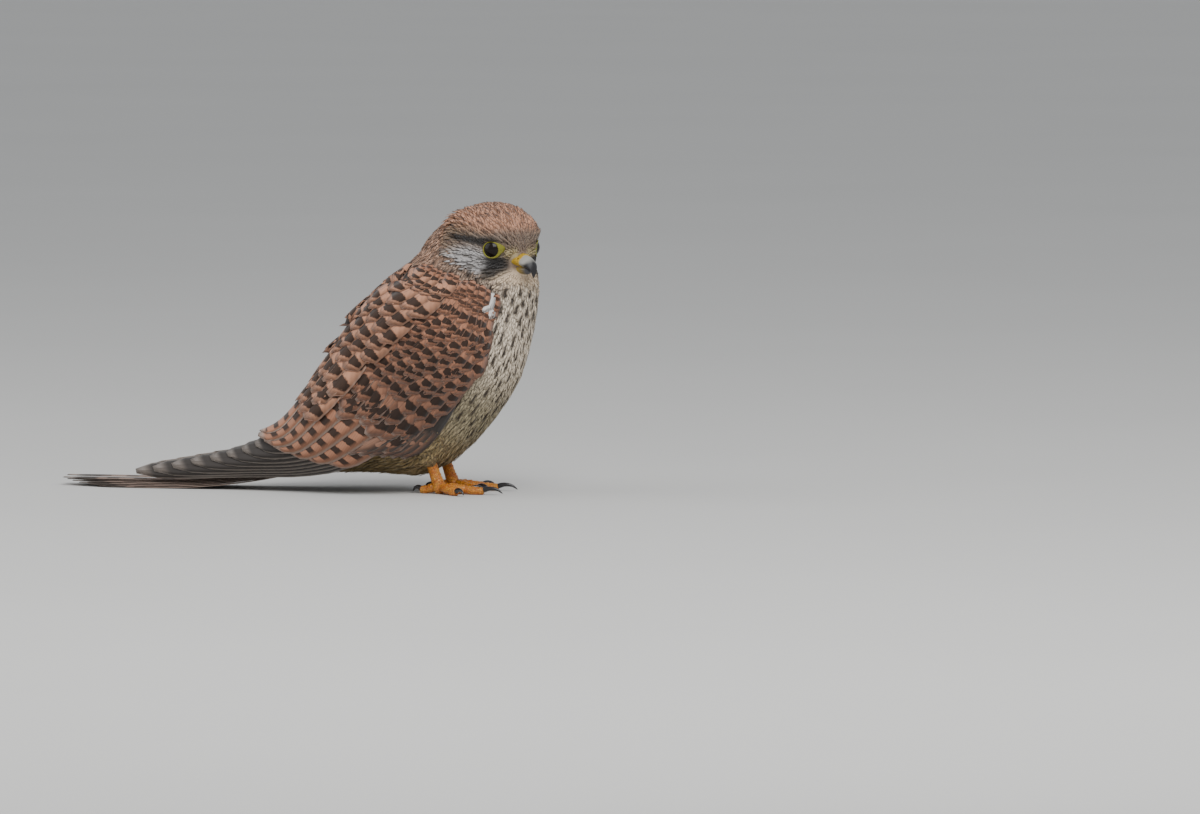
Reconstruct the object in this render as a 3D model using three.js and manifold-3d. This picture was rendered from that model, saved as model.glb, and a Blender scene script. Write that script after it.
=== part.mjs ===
// A life-size common kestrel, a still model of a female or young bird at rest on flat ground.
// It looks along +X with its head turned to its right (-Y), and its tail lies on the ground behind it.
// Millimetres, +Z up. The group is centred over the middle of its own outline, with the ground at Z = 0.
import * as THREE from "three";
import { mergeVertices } from "three/addons/utils/BufferGeometryUtils.js";
import Module from "manifold-3d";

const wasm = await Module();
wasm.setup();

// Driving dimensions
const GAP = 0.3;
const CUT_SIZE = 600;

// Stations of the body from rump to crown: the centre along X and Z, then half the depth and half the width
const BODY = [
  [-102, 14, 6, 11],
  [-76, 27, 20, 20],
  [-49, 45, 41, 33],
  [-30, 56, 50, 39],
  [-13, 74, 51.5, 42],
  [0, 92, 50, 42],
  [10.5, 111, 43.5, 39],
  [16, 127, 39, 31],
  [18.5, 141, 33, 19],
  [22, 153, 23.5, 16],
  [27, 163, 10, 10],
];
const BODY_AROUND = 24;
const BODY_ALONG = 20;
const HEAD_CUT = { through: [24, 132], up: [0.5, 0.866] };
const NECK_CUT = { through: [11, 113], up: [0.3, 0.954] };

const HEAD_CENTRE = [31, 0, 145];
const HEAD_YAW = -38;
const HEAD_PITCH = -3;
const HEAD_HALF = { front: 22.5, back: 30, side: 22.5, top: 22.5, bottom: 25 };

const EYE = { forward: 10.4, side: 13.2, up: -1.8, radius: 6, opening: 4.4, lid: 1.1, turn: 57 };

const BILL = { base: 13.7, length: 18.8, drop: 8.5, halfWidth: 5.5, halfHeight: 4.9, rise: -8.8 };
const CERE_END = 24.2;
const NOSTRIL = { radius: 0.9, forward: 22.6, side: 3.2, up: -7 };

const FOOT = { forward: -2, side: 15 };
const TARSUS = { back: -9, up: 30, radius: 3 };
const TOE_RADIUS = 2.7;
const BALL_RADIUS = 4;

const TAIL = {
  root: -80,
  length: 153,
  rootHeight: 12,
  rootFrom: -0.01,
  rootTo: 0.07,
  rootWidth: 13.5,
  centre: 4,
  step: 1.7,
  halfWidth: 5.6,
};
const TAIL_PAIRS = 6;
const VANE_THICK = 0.5;
const VANE_STEP = VANE_THICK + GAP;
const EDGE = 0.15;

const material = (color, roughness) => new THREE.MeshStandardMaterial({ color, roughness, metalness: 0 });
const RUFOUS = material(0xb07a58, 0.85);
const BREAST = material(0xc4b59d, 0.9);
const CROWN = material(0xa78468, 0.9);
const FLIGHT = material(0x3c3532, 0.7);
const ORANGE = material(0xd87a14, 0.5);
const YELLOW = material(0xd9b420, 0.45);
const HORN = material(0x3a3f4a, 0.35);
const CLAW = material(0x16161a, 0.3);
const IRIS = material(0x0c0a08, 0.1);

// Small helpers
const smooth = (x) => THREE.MathUtils.smoothstep(x, 0, 1);
const mix = THREE.MathUtils.lerp;
const radians = THREE.MathUtils.degToRad;
const range = (count) => [...Array(count).keys()];
const spline = (points) => new THREE.CatmullRomCurve3(points.map((p) => new THREE.Vector3(...p)));

function solidOf(geometry) {
  const bare = new THREE.BufferGeometry().setAttribute("position", geometry.getAttribute("position"));
  bare.setIndex(geometry.index);
  const merged = mergeVertices(bare, 1e-4);
  const vertProperties = merged.attributes.position.array;
  const corners = [...merged.index.array];
  const kept = corners.filter((_, i) => new Set(corners.slice(i - (i % 3), i - (i % 3) + 3)).size === 3);
  const build = (triVerts) => new wasm.Manifold(new wasm.Mesh({ numProp: 3, vertProperties, triVerts }));
  const made = build(new Uint32Array(kept));
  if (made.volume() >= 0) return made;
  return build(new Uint32Array(kept.map((_, i) => kept[i - (i % 3) + [0, 2, 1][i % 3]])));
}

// The largest closed surface of a solid, as a geometry.
function geometryOf(solid) {
  const bodies = solid.decompose();
  const largest = bodies.reduce((a, b) => (b.volume() > a.volume() ? b : a));
  const mesh = largest.getMesh();
  const points = new Float32Array(mesh.numVert * 3);
  range(mesh.numVert).forEach((i) => {
    points.set(mesh.vertProperties.subarray(i * mesh.numProp, i * mesh.numProp + 3), i * 3);
  });
  return new THREE.BufferGeometry()
    .setAttribute("position", new THREE.BufferAttribute(points, 3))
    .setIndex(new THREE.BufferAttribute(mesh.triVerts, 1));
}

const fuse = (solids) => solids.reduce((a, b) => a.add(b));

// A box that fills one side of a plane, to trim a solid with.
function halfSpace(point, normal) {
  const box = new THREE.BoxGeometry(CUT_SIZE, CUT_SIZE, CUT_SIZE).translate(0, 0, CUT_SIZE / 2);
  const up = new THREE.Vector3(0, 0, 1);
  const turn = new THREE.Quaternion().setFromUnitVectors(up, normal.clone().normalize());
  return solidOf(box.applyQuaternion(turn).translate(point.x, point.y, point.z));
}

const aboveGround = halfSpace(new THREE.Vector3(0, 0, 0), new THREE.Vector3(0, 0, 1));

// A round-ended body of rings: place(t, angle) gives a point at t along it and at an angle round it.
function ringed(around, along, place) {
  const sphere = new THREE.SphereGeometry(1, around, along);
  const at = sphere.getAttribute("position");
  const uv = sphere.getAttribute("uv");
  range(at.count).forEach((i) => {
    const point = place(1 - uv.getY(i), (uv.getX(i) % 1) * 2 * Math.PI);
    at.setXYZ(i, point.x, point.y, point.z);
  });
  return solidOf(sphere);
}

// A closed plate with the same triangles on both faces: place(u, v, face) gives its points.
function plate(across, along, place) {
  const plane = new THREE.PlaneGeometry(1, 1, across, along);
  const uv = plane.getAttribute("uv");
  const points = [1, 0].flatMap((face) =>
    range(uv.count).flatMap((i) => place(uv.getX(i), 1 - uv.getY(i), face).toArray()),
  );
  const top = [...plane.index.array];
  const under = top.map((_, i) => top[i - (i % 3) + [0, 2, 1][i % 3]] + uv.count);
  const columns = across + 1;
  const rim = [
    ...range(across),
    ...range(along).map((row) => row * columns + across),
    ...range(across).map((c) => along * columns + across - c),
    ...range(along).map((row) => (along - row) * columns),
  ];
  const wall = rim.flatMap((a, k) => {
    const b = rim[(k + 1) % rim.length];
    return [a, b, b + uv.count, a, b + uv.count, a + uv.count];
  });
  return solidOf(
    new THREE.BufferGeometry()
      .setAttribute("position", new THREE.BufferAttribute(new Float32Array(points), 3))
      .setIndex([...top, ...under, ...wall]),
  );
}

// Body: one plumage surface from rump to crown
const bodyLine = spline(BODY.map(([x, z]) => [x, 0, z]));
const bodySize = spline(BODY.map(([, , deep, wide]) => [deep, wide, 0]));

// A plumage point at t from rump (0) to crown (1); angle 0 is the breast, 90 the right side, 180 the back
function bodyPoint(t, degrees, out = 0) {
  const tangent = bodyLine.getTangent(t);
  const front = new THREE.Vector3(tangent.z, 0, -tangent.x);
  const size = bodySize.getPoint(t);
  const round = Math.sqrt(1 - Math.pow(Math.abs(2 * t - 1), 9));
  const angle = radians(degrees);
  return bodyLine
    .getPoint(t)
    .addScaledVector(front, Math.cos(angle) * (size.x + out) * round)
    .add(new THREE.Vector3(0, -Math.sin(angle) * (size.y + out) * round, 0));
}

const bodySolid = (out) =>
  ringed(BODY_AROUND, BODY_ALONG, (t, angle) => bodyPoint(t, THREE.MathUtils.radToDeg(angle), out));

// Wing sheet: s runs from the bend of the wing (0) to its tip (1), h from the lower edge (0) to the back (1)
const WING_ROOTS = {
  lower: [[0.648, 56, -1], [0.504, 50, -5], [0.378, 50, -6], [0.297, 46, -6]],
  middle: [[0.666, 92, -1], [0.558, 97, -6], [0.45, 103, -7], [0.342, 108, -7]],
  upper: [[0.675, 138, -2], [0.594, 152, -6], [0.504, 162, -7], [0.414, 167, -7], [0.324, 168, -7]],
};
const WING_TIPS = {
  lower: [[-37, -32, 14], [-74, -27, 8], [-112, -21.5, 7], [-150, -16, 7], [-190, -11, 6.5]],
  middle: [[-58, -34, 44], [-87, -23.5, 25], [-119, -15.5, 17.5], [-155, -13, 14], [-191, -9.5, 9.5]],
  upper: [[-84, -8, 49], [-101, -6, 33], [-127, -6, 25.5], [-160, -8, 20], [-192, -8, 12.5]],
};
const wingEdge = (name) =>
  spline([
    ...WING_ROOTS[name].map(([t, degrees, out]) => bodyPoint(t, degrees, out).toArray()),
    ...WING_TIPS[name],
  ]);
const wingLower = wingEdge("lower");
const wingMiddle = wingEdge("middle");
const wingUpper = wingEdge("upper");

function wingFlat(s, h) {
  return new THREE.Vector3()
    .addScaledVector(wingLower.getPointAt(s), (1 - h) * (1 - 2 * h))
    .addScaledVector(wingMiddle.getPointAt(s), 4 * h * (1 - h))
    .addScaledVector(wingUpper.getPointAt(s), h * (2 * h - 1));
}

function wingAxes(s, h) {
  const step = 0.004;
  const inside = THREE.MathUtils.clamp(s, step, 1 - step);
  const along = wingFlat(inside + step, h).sub(wingFlat(inside - step, h)).divideScalar(2 * step);
  const across = wingFlat(inside, h + step).sub(wingFlat(inside, h - step)).divideScalar(2 * step);
  const out = new THREE.Vector3().crossVectors(across, along).normalize();
  return { along, across, out };
}

// A point off the sheet, with the wing growing thin towards its bend and its two edges.
const bendTaper = (s) => 0.25 + 0.75 * smooth(s / 0.15);
function wingPoint(s, h, out) {
  const kept = THREE.MathUtils.clamp(s, 0, 1);
  const axes = wingAxes(kept, h);
  const thin = bendTaper(s) * (1 - 0.3 * Math.pow(Math.abs(2 * h - 1), 4));
  return wingFlat(kept, h)
    .addScaledVector(axes.along, s - kept)
    .addScaledVector(axes.out, out > 0 ? out * thin : out);
}

// The wing's beds and blocks share one grid, so that their faces stay parallel: steps along and across
const GRID_STEPS = 16;
const GRID = { s: 0.062, h: 0.16, hStart: 0.03 };
const gridLines = ([from, to]) => [from, ...range(GRID_STEPS).filter((i) => i > from && i < to), to];
const pick = (list, share) => list[Math.round(share * (list.length - 1))];
function wingSlab(sSpan, hSpan, [low, high]) {
  const [along, across] = [gridLines(sSpan), gridLines(hSpan)];
  return plate(across.length - 1, along.length - 1, (u, v, face) =>
    wingPoint(GRID.s * pick(along, v), GRID.hStart + GRID.h * pick(across, u), face ? high : low),
  );
}

// Half the width of a feather: it widens from the root and ends in a round tip.
const vaneWidth = (u) =>
  (0.5 + 0.5 * smooth(u / 0.3)) * Math.sqrt(1 - 0.94 * Math.pow(Math.max(0, u - 0.74) / 0.26, 2.4));

// One feather on the sheet: its lower edge lies over its neighbour by the tilt, and its root sinks in its bed
const TIP_LENGTH = 0.022;
const BENT_STEPS = 9;
function wingVane({ root, tip, halfWidth, out, tilt = 0, rise = 0, sink = 0 }) {
  const first = Math.ceil(root[0] / GRID.s + 0.3);
  const last = Math.floor((tip[0] - TIP_LENGTH) / GRID.s - 0.2);
  const lines = range(Math.max(0, last - first + 1)).map((i) => first + i);
  const between = lines.filter((i) => i <= BENT_STEPS || i % 2 === 0).map((i) => i * GRID.s);
  const stations = [root[0], ...between, tip[0] - TIP_LENGTH, tip[0] - TIP_LENGTH / 3, tip[0]];
  return plate(2, stations.length - 1, (u, v, face) => {
    const s = pick(stations, v);
    const length = (s - root[0]) / (tip[0] - root[0]);
    const h = mix(root[1], tip[1], length);
    const half = (halfWidth * vaneWidth(length)) / wingAxes(s, h).across.length();
    const emerged = smooth(length / 0.35);
    const lift = out + emerged * (tilt * (1 - u) + rise * length) - (1 - emerged) * sink;
    return wingPoint(s, h + (2 * u - 1) * half, lift + (face ? VANE_THICK / bendTaper(s) : 0));
  });
}
const share = (k, list) => k / (list.length - 1);

// Primaries in a stack, the innermost on top, with their roots held in one block
const BED_STEPS = 6;
const FLIGHT_ROOT = GRID.s * (BED_STEPS + 0.15);
const PRIMARY_TIPS = [0.68, 0.73, 0.785, 0.84, 0.9, 0.96, 0.995];
const PRIMARY_TOP = GAP + VANE_STEP * PRIMARY_TIPS.length;
function primaries() {
  const vanes = PRIMARY_TIPS.map((reach, k) =>
    wingVane({
      root: [FLIGHT_ROOT, mix(0.36, 0.16, share(k, PRIMARY_TIPS))],
      tip: [reach, mix(0.7, 0.35, share(k, PRIMARY_TIPS))],
      halfWidth: mix(8.5, 7, share(k, PRIMARY_TIPS)),
      out: PRIMARY_TOP - GAP / 2 - VANE_STEP * (k + 1),
    }),
  );
  const block = wingSlab([BED_STEPS + 0.1, BED_STEPS + 1], [0.5, 3], [0, PRIMARY_TOP - GAP]);
  return fuse([block, ...vanes]);
}

// Secondaries and tertials in one row, each over the next one below
const SECONDARY_TIPS = [0.51, 0.55, 0.585, 0.61, 0.63, 0.635];
const SECONDARY_RISE = 0.5;
const ROW_TILT = 1.4;
const SECONDARY_TOP = PRIMARY_TOP + ROW_TILT + VANE_THICK + 5 * EDGE;
function secondaries() {
  const vanes = SECONDARY_TIPS.map((reach, k) =>
    wingVane({
      root: [FLIGHT_ROOT, mix(0.24, 0.92, share(k, SECONDARY_TIPS))],
      tip: [reach, mix(0.27, 0.93, share(k, SECONDARY_TIPS))],
      halfWidth: 7.5,
      out: PRIMARY_TOP + 4 * EDGE,
      tilt: ROW_TILT,
      rise: SECONDARY_RISE * k,
    }),
  );
  const block = wingSlab([BED_STEPS + 0.1, BED_STEPS + 1], [1, 6], [PRIMARY_TOP + 2 * EDGE, SECONDARY_TOP]);
  return fuse([block, ...vanes]);
}

// Coverts: a bed over the arm with the median and the greater coverts rising from it in two tiers
const COVERT_LOW = SECONDARY_TOP + GAP;
const COVERT_TIERS = [
  { root: 0.21, tip: 0.43, from: 0.14, to: 0.65, count: 6, clear: 0.2 },
  { root: 0.09, tip: 0.31, from: 0.12, to: 0.65, count: 6, clear: 2.5 },
];
function coverts() {
  const vanes = COVERT_TIERS.flatMap((tier) =>
    range(tier.count).map((k) => {
      const h = mix(tier.from, tier.to, k / (tier.count - 1));
      return wingVane({
        root: [tier.root, h],
        tip: [tier.tip + 0.04 * (k / (tier.count - 1)), h + 0.01],
        halfWidth: 6.4,
        out: COVERT_LOW + 0.1,
        tilt: ROW_TILT,
        rise: tier.clear,
        sink: 1.5,
      });
    }),
  );
  return fuse([wingSlab([0, BED_STEPS], [0, 6], [0, COVERT_LOW - GAP]), ...vanes]);
}

// Scapulars, the long shoulder feathers that lie over the wing's upper edge
const SCAPULAR_BED = 1.2;
const SCAPULAR_TIERS = [
  { root: 0.3, tip: 0.46, clear: 0 },
  { root: 0.16, tip: 0.36, clear: 2.3 },
];
function scapulars() {
  const vanes = SCAPULAR_TIERS.flatMap((tier) =>
    range(3).map((k) =>
      wingVane({
        root: [tier.root, 0.81 + 0.08 * k],
        tip: [tier.tip + 0.015 * k, 0.8 + 0.085 * k],
        halfWidth: 6.2,
        out: COVERT_LOW + SCAPULAR_BED + GAP,
        tilt: ROW_TILT,
        rise: tier.clear,
        sink: 1,
      }),
    ),
  );
  return fuse([wingSlab([1, BED_STEPS], [4.6, 6], [COVERT_LOW, COVERT_LOW + SCAPULAR_BED]), ...vanes]);
}

// Tail: six pairs, the middle pair on top, lying on the ground
function tailPoint(s, y, out) {
  const x = TAIL.root - TAIL.length * s;
  const z = TAIL.rootHeight * Math.pow(Math.max(0, 1 - s / 0.6), 2);
  return new THREE.Vector3(x, y, z + out);
}
const TAIL_LEVELS = TAIL_PAIRS + 1;
const TAIL_STATIONS = [0, 0.2, 0.4, 0.62, 0.84, 0.95, 1];
const tailWidth = (u) =>
  (0.6 + 0.4 * smooth(u / 0.4)) * Math.sqrt(1 - 0.8 * Math.pow(Math.max(0, u - 0.88) / 0.12, 2));
function tail() {
  const vanes = range(TAIL_PAIRS).flatMap((pair) =>
    [-1, 1].map((side) =>
      plate(1, TAIL_STATIONS.length - 1, (u, v, face) => {
        const length = pick(TAIL_STATIONS, v);
        const reach = 1 - 0.016 * pair - 0.003 * pair * pair;
        const centre = TAIL.centre + TAIL.step * pair * (0.7 + 0.5 * length);
        const half = (TAIL.halfWidth + (pair ? 0 : 2)) * tailWidth(length);
        const level = TAIL_PAIRS - 1 - pair + (pair === 0 && side > 0 ? 1 : 0);
        const out = level * VANE_STEP + (face ? VANE_THICK : 0);
        return tailPoint(reach * length, side * (centre + (2 * u - 1) * half), out);
      }),
    ),
  );
  const top = TAIL_LEVELS * VANE_STEP;
  const root = plate(1, 1, (u, v, face) => {
    const s = TAIL.rootFrom + (TAIL.rootTo - TAIL.rootFrom) * v;
    return tailPoint(s, (2 * u - 1) * TAIL.rootWidth, face ? top : -EDGE);
  });
  return fuse([root, ...vanes]);
}

// Head
const headFrame = new THREE.Matrix4()
  .makeTranslation(...HEAD_CENTRE)
  .multiply(new THREE.Matrix4().makeRotationZ(radians(HEAD_YAW)))
  .multiply(new THREE.Matrix4().makeRotationY(radians(-HEAD_PITCH)));
const inHead = (x, y, z) => new THREE.Vector3(x, y, z).applyMatrix4(headFrame);
const toHead = (geometry) => geometry.applyMatrix4(headFrame);

// Swellings and hollows of the face: a direction from the head's middle, how far out and how wide
const FACE = [
  { at: [0.52, 0.64, 0.45], out: 2.3, wide: 0.28 },
  { at: [0.6, 0.79, -0.1], out: -1.8, wide: 0.32 },
  { at: [0.86, 0.45, -0.3], out: -2.4, wide: 0.28 },
  { at: [0.3, 0.75, -0.6], out: 2, wide: 0.4 },
  { at: [0.75, 0.2, -0.7], out: 1.5, wide: 0.4 },
  { at: [-0.7, 0.3, 0.6], out: 2.5, wide: 0.5 },
];
function headPoint(x, y, z, out) {
  const unit = new THREE.Vector3(x, y, z);
  const reach = FACE.reduce((sum, bump) => {
    const [ahead, aside, up] = bump.at;
    const peak = new THREE.Vector3(ahead, Math.sign(y) * aside, up).normalize();
    return sum + bump.out * Math.exp(-Math.pow(unit.distanceTo(peak) / bump.wide, 2));
  }, out);
  const size = new THREE.Vector3(
    x * (x > 0 ? HEAD_HALF.front : HEAD_HALF.back),
    y * HEAD_HALF.side,
    z * (z > 0 ? HEAD_HALF.top : HEAD_HALF.bottom),
  );
  return size.addScaledVector(unit, reach);
}
function skull() {
  const sphere = new THREE.SphereGeometry(1, 24, 18).rotateX(Math.PI / 2);
  const at = sphere.getAttribute("position");
  range(at.count).forEach((i) => {
    const point = headPoint(at.getX(i), at.getY(i), at.getZ(i), 0);
    at.setXYZ(i, point.x, point.y, point.z);
  });
  return solidOf(toHead(sphere));
}

// Eyes and lids
const eyeBall = (side, out) =>
  solidOf(
    toHead(
      new THREE.SphereGeometry(EYE.radius + out, 14, 10)
        .rotateX(Math.PI / 2)
        .translate(EYE.forward, side * EYE.side, EYE.up),
    ),
  );
function lidRing(side) {
  const ahead = Math.sqrt(EYE.radius ** 2 - EYE.opening ** 2);
  const aim = new THREE.Quaternion().setFromUnitVectors(
    new THREE.Vector3(0, 0, 1),
    new THREE.Vector3(Math.cos(radians(EYE.turn)), side * Math.sin(radians(EYE.turn)), -0.05).normalize(),
  );
  const ring = new THREE.TorusGeometry(EYE.opening + EYE.lid, EYE.lid, 6, 14)
    .translate(0, 0, ahead - 0.2)
    .applyQuaternion(aim)
    .translate(EYE.forward, side * EYE.side, EYE.up);
  return solidOf(toHead(ring));
}

// Bill: rings along a line that runs forward and hooks down
const billRound = (along) => Math.pow(Math.max(0, 1 - Math.pow(along, 2.1)), 0.62);
function upperBill(out) {
  return ringed(14, 10, (t, angle) => {
    const along = Math.min(1, t * 1.02);
    const size = t < 0.04 ? 0 : billRound(along);
    const x = BILL.base + (BILL.length + 0.4 * out) * Math.sin(along * 1.75) * 0.985;
    const drop = BILL.drop * Math.pow(along, 3.2);
    const half = { y: (BILL.halfWidth + out) * size, z: (BILL.halfHeight + out) * size };
    const low = Math.cos(angle) < 0 ? 0.62 : 1;
    return inHead(x, Math.sin(angle) * half.y, BILL.rise - drop + Math.cos(angle) * half.z * low);
  });
}
function lowerBill(out) {
  return ringed(12, 6, (t, angle) => {
    const size = Math.sqrt(Math.max(0, 1 - Math.pow(2 * t - 1, 4)));
    const x = BILL.base + (BILL.length - 3.6 + out) * t;
    const half = { y: (BILL.halfWidth - 0.9 + out) * size * mix(1, 0.6, t), z: (2.7 + out) * size };
    return inHead(x, Math.sin(angle) * half.y, BILL.rise - 4.1 - 0.4 * t + Math.cos(angle) * half.z);
  });
}
const forwardCut = (forward) =>
  halfSpace(
    inHead(forward, 0, 0),
    inHead(1, 0, 0).sub(inHead(0, 0, 0)),
  );
function nostril(side) {
  const drill = new THREE.CylinderGeometry(NOSTRIL.radius, NOSTRIL.radius, 4, 10)
    .rotateZ(radians(-side * 10))
    .translate(NOSTRIL.forward, side * (NOSTRIL.side + 2), NOSTRIL.up);
  return solidOf(toHead(drill));
}

// Legs: a curved tube of rings, with the scutes as steps in its rings
function tube(points, radiusAt, { around = 8, along = 10, steps = 0, lift = 0.1 }) {
  const line = spline(points);
  return ringed(around, along, (t, angle) => {
    const tangent = line.getTangent(t);
    const sideways = new THREE.Vector3(0, 0, 1).cross(tangent).normalize();
    const up = tangent.clone().cross(sideways).normalize();
    const end = Math.sqrt(Math.max(0, 1 - Math.pow(Math.abs(2 * t - 1), 14)));
    const scute = steps ? 1 + lift * ((t * steps) % 1) * Math.max(0, Math.cos(angle)) : 1;
    const radius = radiusAt(t) * end * scute;
    return line
      .getPoint(t)
      .addScaledVector(sideways, Math.sin(angle) * radius)
      .addScaledVector(up, Math.cos(angle) * radius);
  });
}

// Toes: the heading in degrees from straight ahead, and the length; the last one is the hind toe
const TOES = [
  { name: "inner", heading: 24, length: 19 },
  { name: "middle", heading: -2, length: 27 },
  { name: "outer", heading: -45, length: 20 },
  { name: "hind", heading: 172, length: 12 },
];
function toeLine(foot, toe) {
  const ahead = new THREE.Vector3(Math.cos(radians(toe.heading)), Math.sin(radians(toe.heading)), 0);
  const at = (share, z) => foot.clone().addScaledVector(ahead, toe.length * share).setZ(z).toArray();
  return {
    ahead,
    points: [at(0, 3.6), at(0.3, 3.6), at(0.62, 2.6), at(0.85, 2.1), at(1, 2.2)],
    claw: [at(0.96, 2.6), at(1.12, 3.7), at(1.3, 3.1), at(1.42, 0.9)],
  };
}
const footCentre = new THREE.Vector3(FOOT.forward, -FOOT.side, 0);
const toeRadius = (out) => (t) => mix(TOE_RADIUS, TOE_RADIUS * 0.82, t) + out;
const toeSolid = (toe, out) =>
  tube(toeLine(footCentre, toe).points, toeRadius(out), { around: 7, along: 12, steps: 4, lift: 0.2 });
function shank(out) {
  return tube(
    [
      [FOOT.forward, -FOOT.side, 4],
      [FOOT.forward - 3, -FOOT.side, 12],
      [FOOT.forward + TARSUS.back, -FOOT.side - 1, TARSUS.up],
    ],
    (t) => TARSUS.radius + 0.9 * (1 - t) * (1 - t) + out,
    { around: 8, along: 12, steps: 4, lift: 0.12 },
  );
}
function footBall(out) {
  const ball = new THREE.SphereGeometry(BALL_RADIUS + out, 10, 8);
  return solidOf(ball.translate(FOOT.forward, -FOOT.side, BALL_RADIUS - 0.3));
}
const legSolid = (out) => fuse([shank(out), footBall(out), ...TOES.map((toe) => toeSolid(toe, out))]);
function clawSolid(toe) {
  const radiusAt = (t) => 1.55 * Math.pow(1 - t, 0.75) + 0.12;
  return tube(toeLine(footCentre, toe).claw, radiusAt, { around: 6, along: 6 });
}

// Thigh: the feathered trousers between the belly and the bare shank
function thighSolid(out) {
  return tube(
    [
      [FOOT.forward - 14, -FOOT.side - 5, 42],
      [FOOT.forward - 8, -FOOT.side - 3, 28],
      [FOOT.forward - 3.5, -FOOT.side - 0.5, 14.5],
    ],
    (t) => mix(15, 5.6, Math.pow(t, 0.8)) + out,
    { around: 12, along: 6 },
  );
}

// Assembly
const kestrel = new THREE.Group();
function addNode(name, solid, look) {
  const mesh = new THREE.Mesh(geometryOf(solid), look);
  mesh.name = name;
  kestrel.add(mesh);
  return mesh;
}
// A right-hand piece and its mirror image on the left.
function addPair(name, solid, look) {
  const right = addNode(name.replace("SIDE", "right"), solid, look);
  const left = new THREE.Mesh(right.geometry, look);
  left.name = name.replace("SIDE", "left");
  left.scale.y = -1;
  kestrel.add(left);
}

const ROOM_ALONG = [-0.03, ...range(13).slice(1)];
const ROOM_ACROSS = [-0.04, 1, 2, 3, 4, 5, 6, 6.4];
const ROOM_HEIGHT = 16;
const wingRoom = (side) =>
  plate(ROOM_ACROSS.length - 1, ROOM_ALONG.length - 1, (u, v, face) => {
    const s = GRID.s * pick(ROOM_ALONG, v);
    const h = GRID.hStart + GRID.h * pick(ROOM_ACROSS, u);
    return wingPoint(s, h, face ? ROOM_HEIGHT / bendTaper(s) : -GAP).multiply(new THREE.Vector3(1, side, 1));
  });
const wingRooms = [wingRoom(1), wingRoom(-1)];
const TAIL_ROOM = { from: -0.02, length: 0.9, halfWidth: 26, height: 6.5 };
const tailRoom = plate(4, 6, (u, v, face) =>
  tailPoint(
    TAIL_ROOM.from + TAIL_ROOM.length * v,
    (2 * u - 1) * TAIL_ROOM.halfWidth,
    face ? TAIL_ROOM.height : -GAP,
  ),
);
const clearOfWings = (solid) => solid.subtract(wingRooms[0]).subtract(wingRooms[1]);
const plumage = clearOfWings(bodySolid(0))
  .subtract(tailRoom)
  .intersect(halfSpace(new THREE.Vector3(0, 0, 1), new THREE.Vector3(0, 0, 1)));

const headPlane = {
  point: new THREE.Vector3(HEAD_CUT.through[0], 0, HEAD_CUT.through[1]),
  up: new THREE.Vector3(HEAD_CUT.up[0], 0, HEAD_CUT.up[1]),
};
const neckPlane = {
  point: new THREE.Vector3(NECK_CUT.through[0], 0, NECK_CUT.through[1]),
  up: new THREE.Vector3(NECK_CUT.up[0], 0, NECK_CUT.up[1]),
};
const over = ({ point, up }, gap) => halfSpace(point.clone().addScaledVector(up, gap / 2), up);
const under = ({ point, up }, gap) =>
  halfSpace(point.clone().addScaledVector(up, -gap / 2), up.clone().negate());

const eyes = [-1, 1].map((side) => ({ side, ball: eyeBall(side, 0), room: eyeBall(side, GAP) }));
const face = fuse([skull(), lidRing(-1), lidRing(1), bodySolid(0)]);
const cere = upperBill(0.45).intersect(forwardCut(BILL.base)).subtract(forwardCut(CERE_END));
const billTop = upperBill(0).intersect(forwardCut(CERE_END + GAP));
const billRoom = upperBill(0.45 + GAP).intersect(forwardCut(BILL.base - GAP));
const billLow = lowerBill(0).subtract(billRoom).intersect(forwardCut(BILL.base));
const head = face
  .intersect(over(headPlane, GAP))
  .subtract(eyes[0].room)
  .subtract(eyes[1].room)
  .subtract(billRoom)
  .subtract(lowerBill(GAP));

addNode("head", clearOfWings(head), CROWN);
addNode("cere", cere.subtract(nostril(-1)).subtract(nostril(1)), YELLOW);
addNode("bill_upper", billTop, HORN);
addNode("bill_lower", billLow, HORN);
eyes.forEach(({ side, ball }) => addNode(side < 0 ? "eye_right" : "eye_left", ball, IRIS));
const neck = fuse([plumage, skull()])
  .intersect(under(headPlane, GAP))
  .intersect(over(neckPlane, GAP));
addNode("neck", clearOfWings(neck), CROWN);
const torso = plumage.intersect(under(neckPlane, GAP));
addNode("torso", torso, BREAST);

const trousers = thighSolid(0).subtract(bodySolid(GAP));
const leg = legSolid(0).subtract(thighSolid(GAP)).subtract(bodySolid(GAP)).intersect(aboveGround);
addPair("thigh_SIDE", trousers, BREAST);
addPair("leg_SIDE", leg, ORANGE);
const toeRoom = legSolid(GAP);
TOES.forEach((toe) => {
  addPair("claw_SIDE_" + toe.name, clawSolid(toe).subtract(toeRoom).intersect(aboveGround), CLAW);
});

addPair("wing_SIDE_primaries", primaries().intersect(aboveGround), FLIGHT);
addPair("wing_SIDE_secondaries", secondaries(), RUFOUS);
addPair("wing_SIDE_coverts", coverts(), RUFOUS);
addPair("wing_SIDE_scapulars", scapulars(), RUFOUS);
addNode("tail", tail().intersect(aboveGround), FLIGHT);

const outline = new THREE.Box3().setFromObject(kestrel);
const middle = outline.getCenter(new THREE.Vector3());
kestrel.position.set(-middle.x, -middle.y, -outline.min.z);

export default kestrel;
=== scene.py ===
# %% [markdown]
# # A common kestrel, life size
# The bird stands on a pale floor with its head turned to its right, as a museum would show it.
# A bird is a smooth body that nobody sees, dressed in a few thousand feathers that everybody sees.
# So the script first makes that hidden body, then lays feathers on it row by row, as roof tiles are
# laid, and only then makes the hard parts: bill, eyes, feet and claws.

# %% Open the frame
import math

import bmesh
import bpy
import numpy as np
from mathutils import Matrix, Vector
from mathutils.bvhtree import BVHTree


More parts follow.
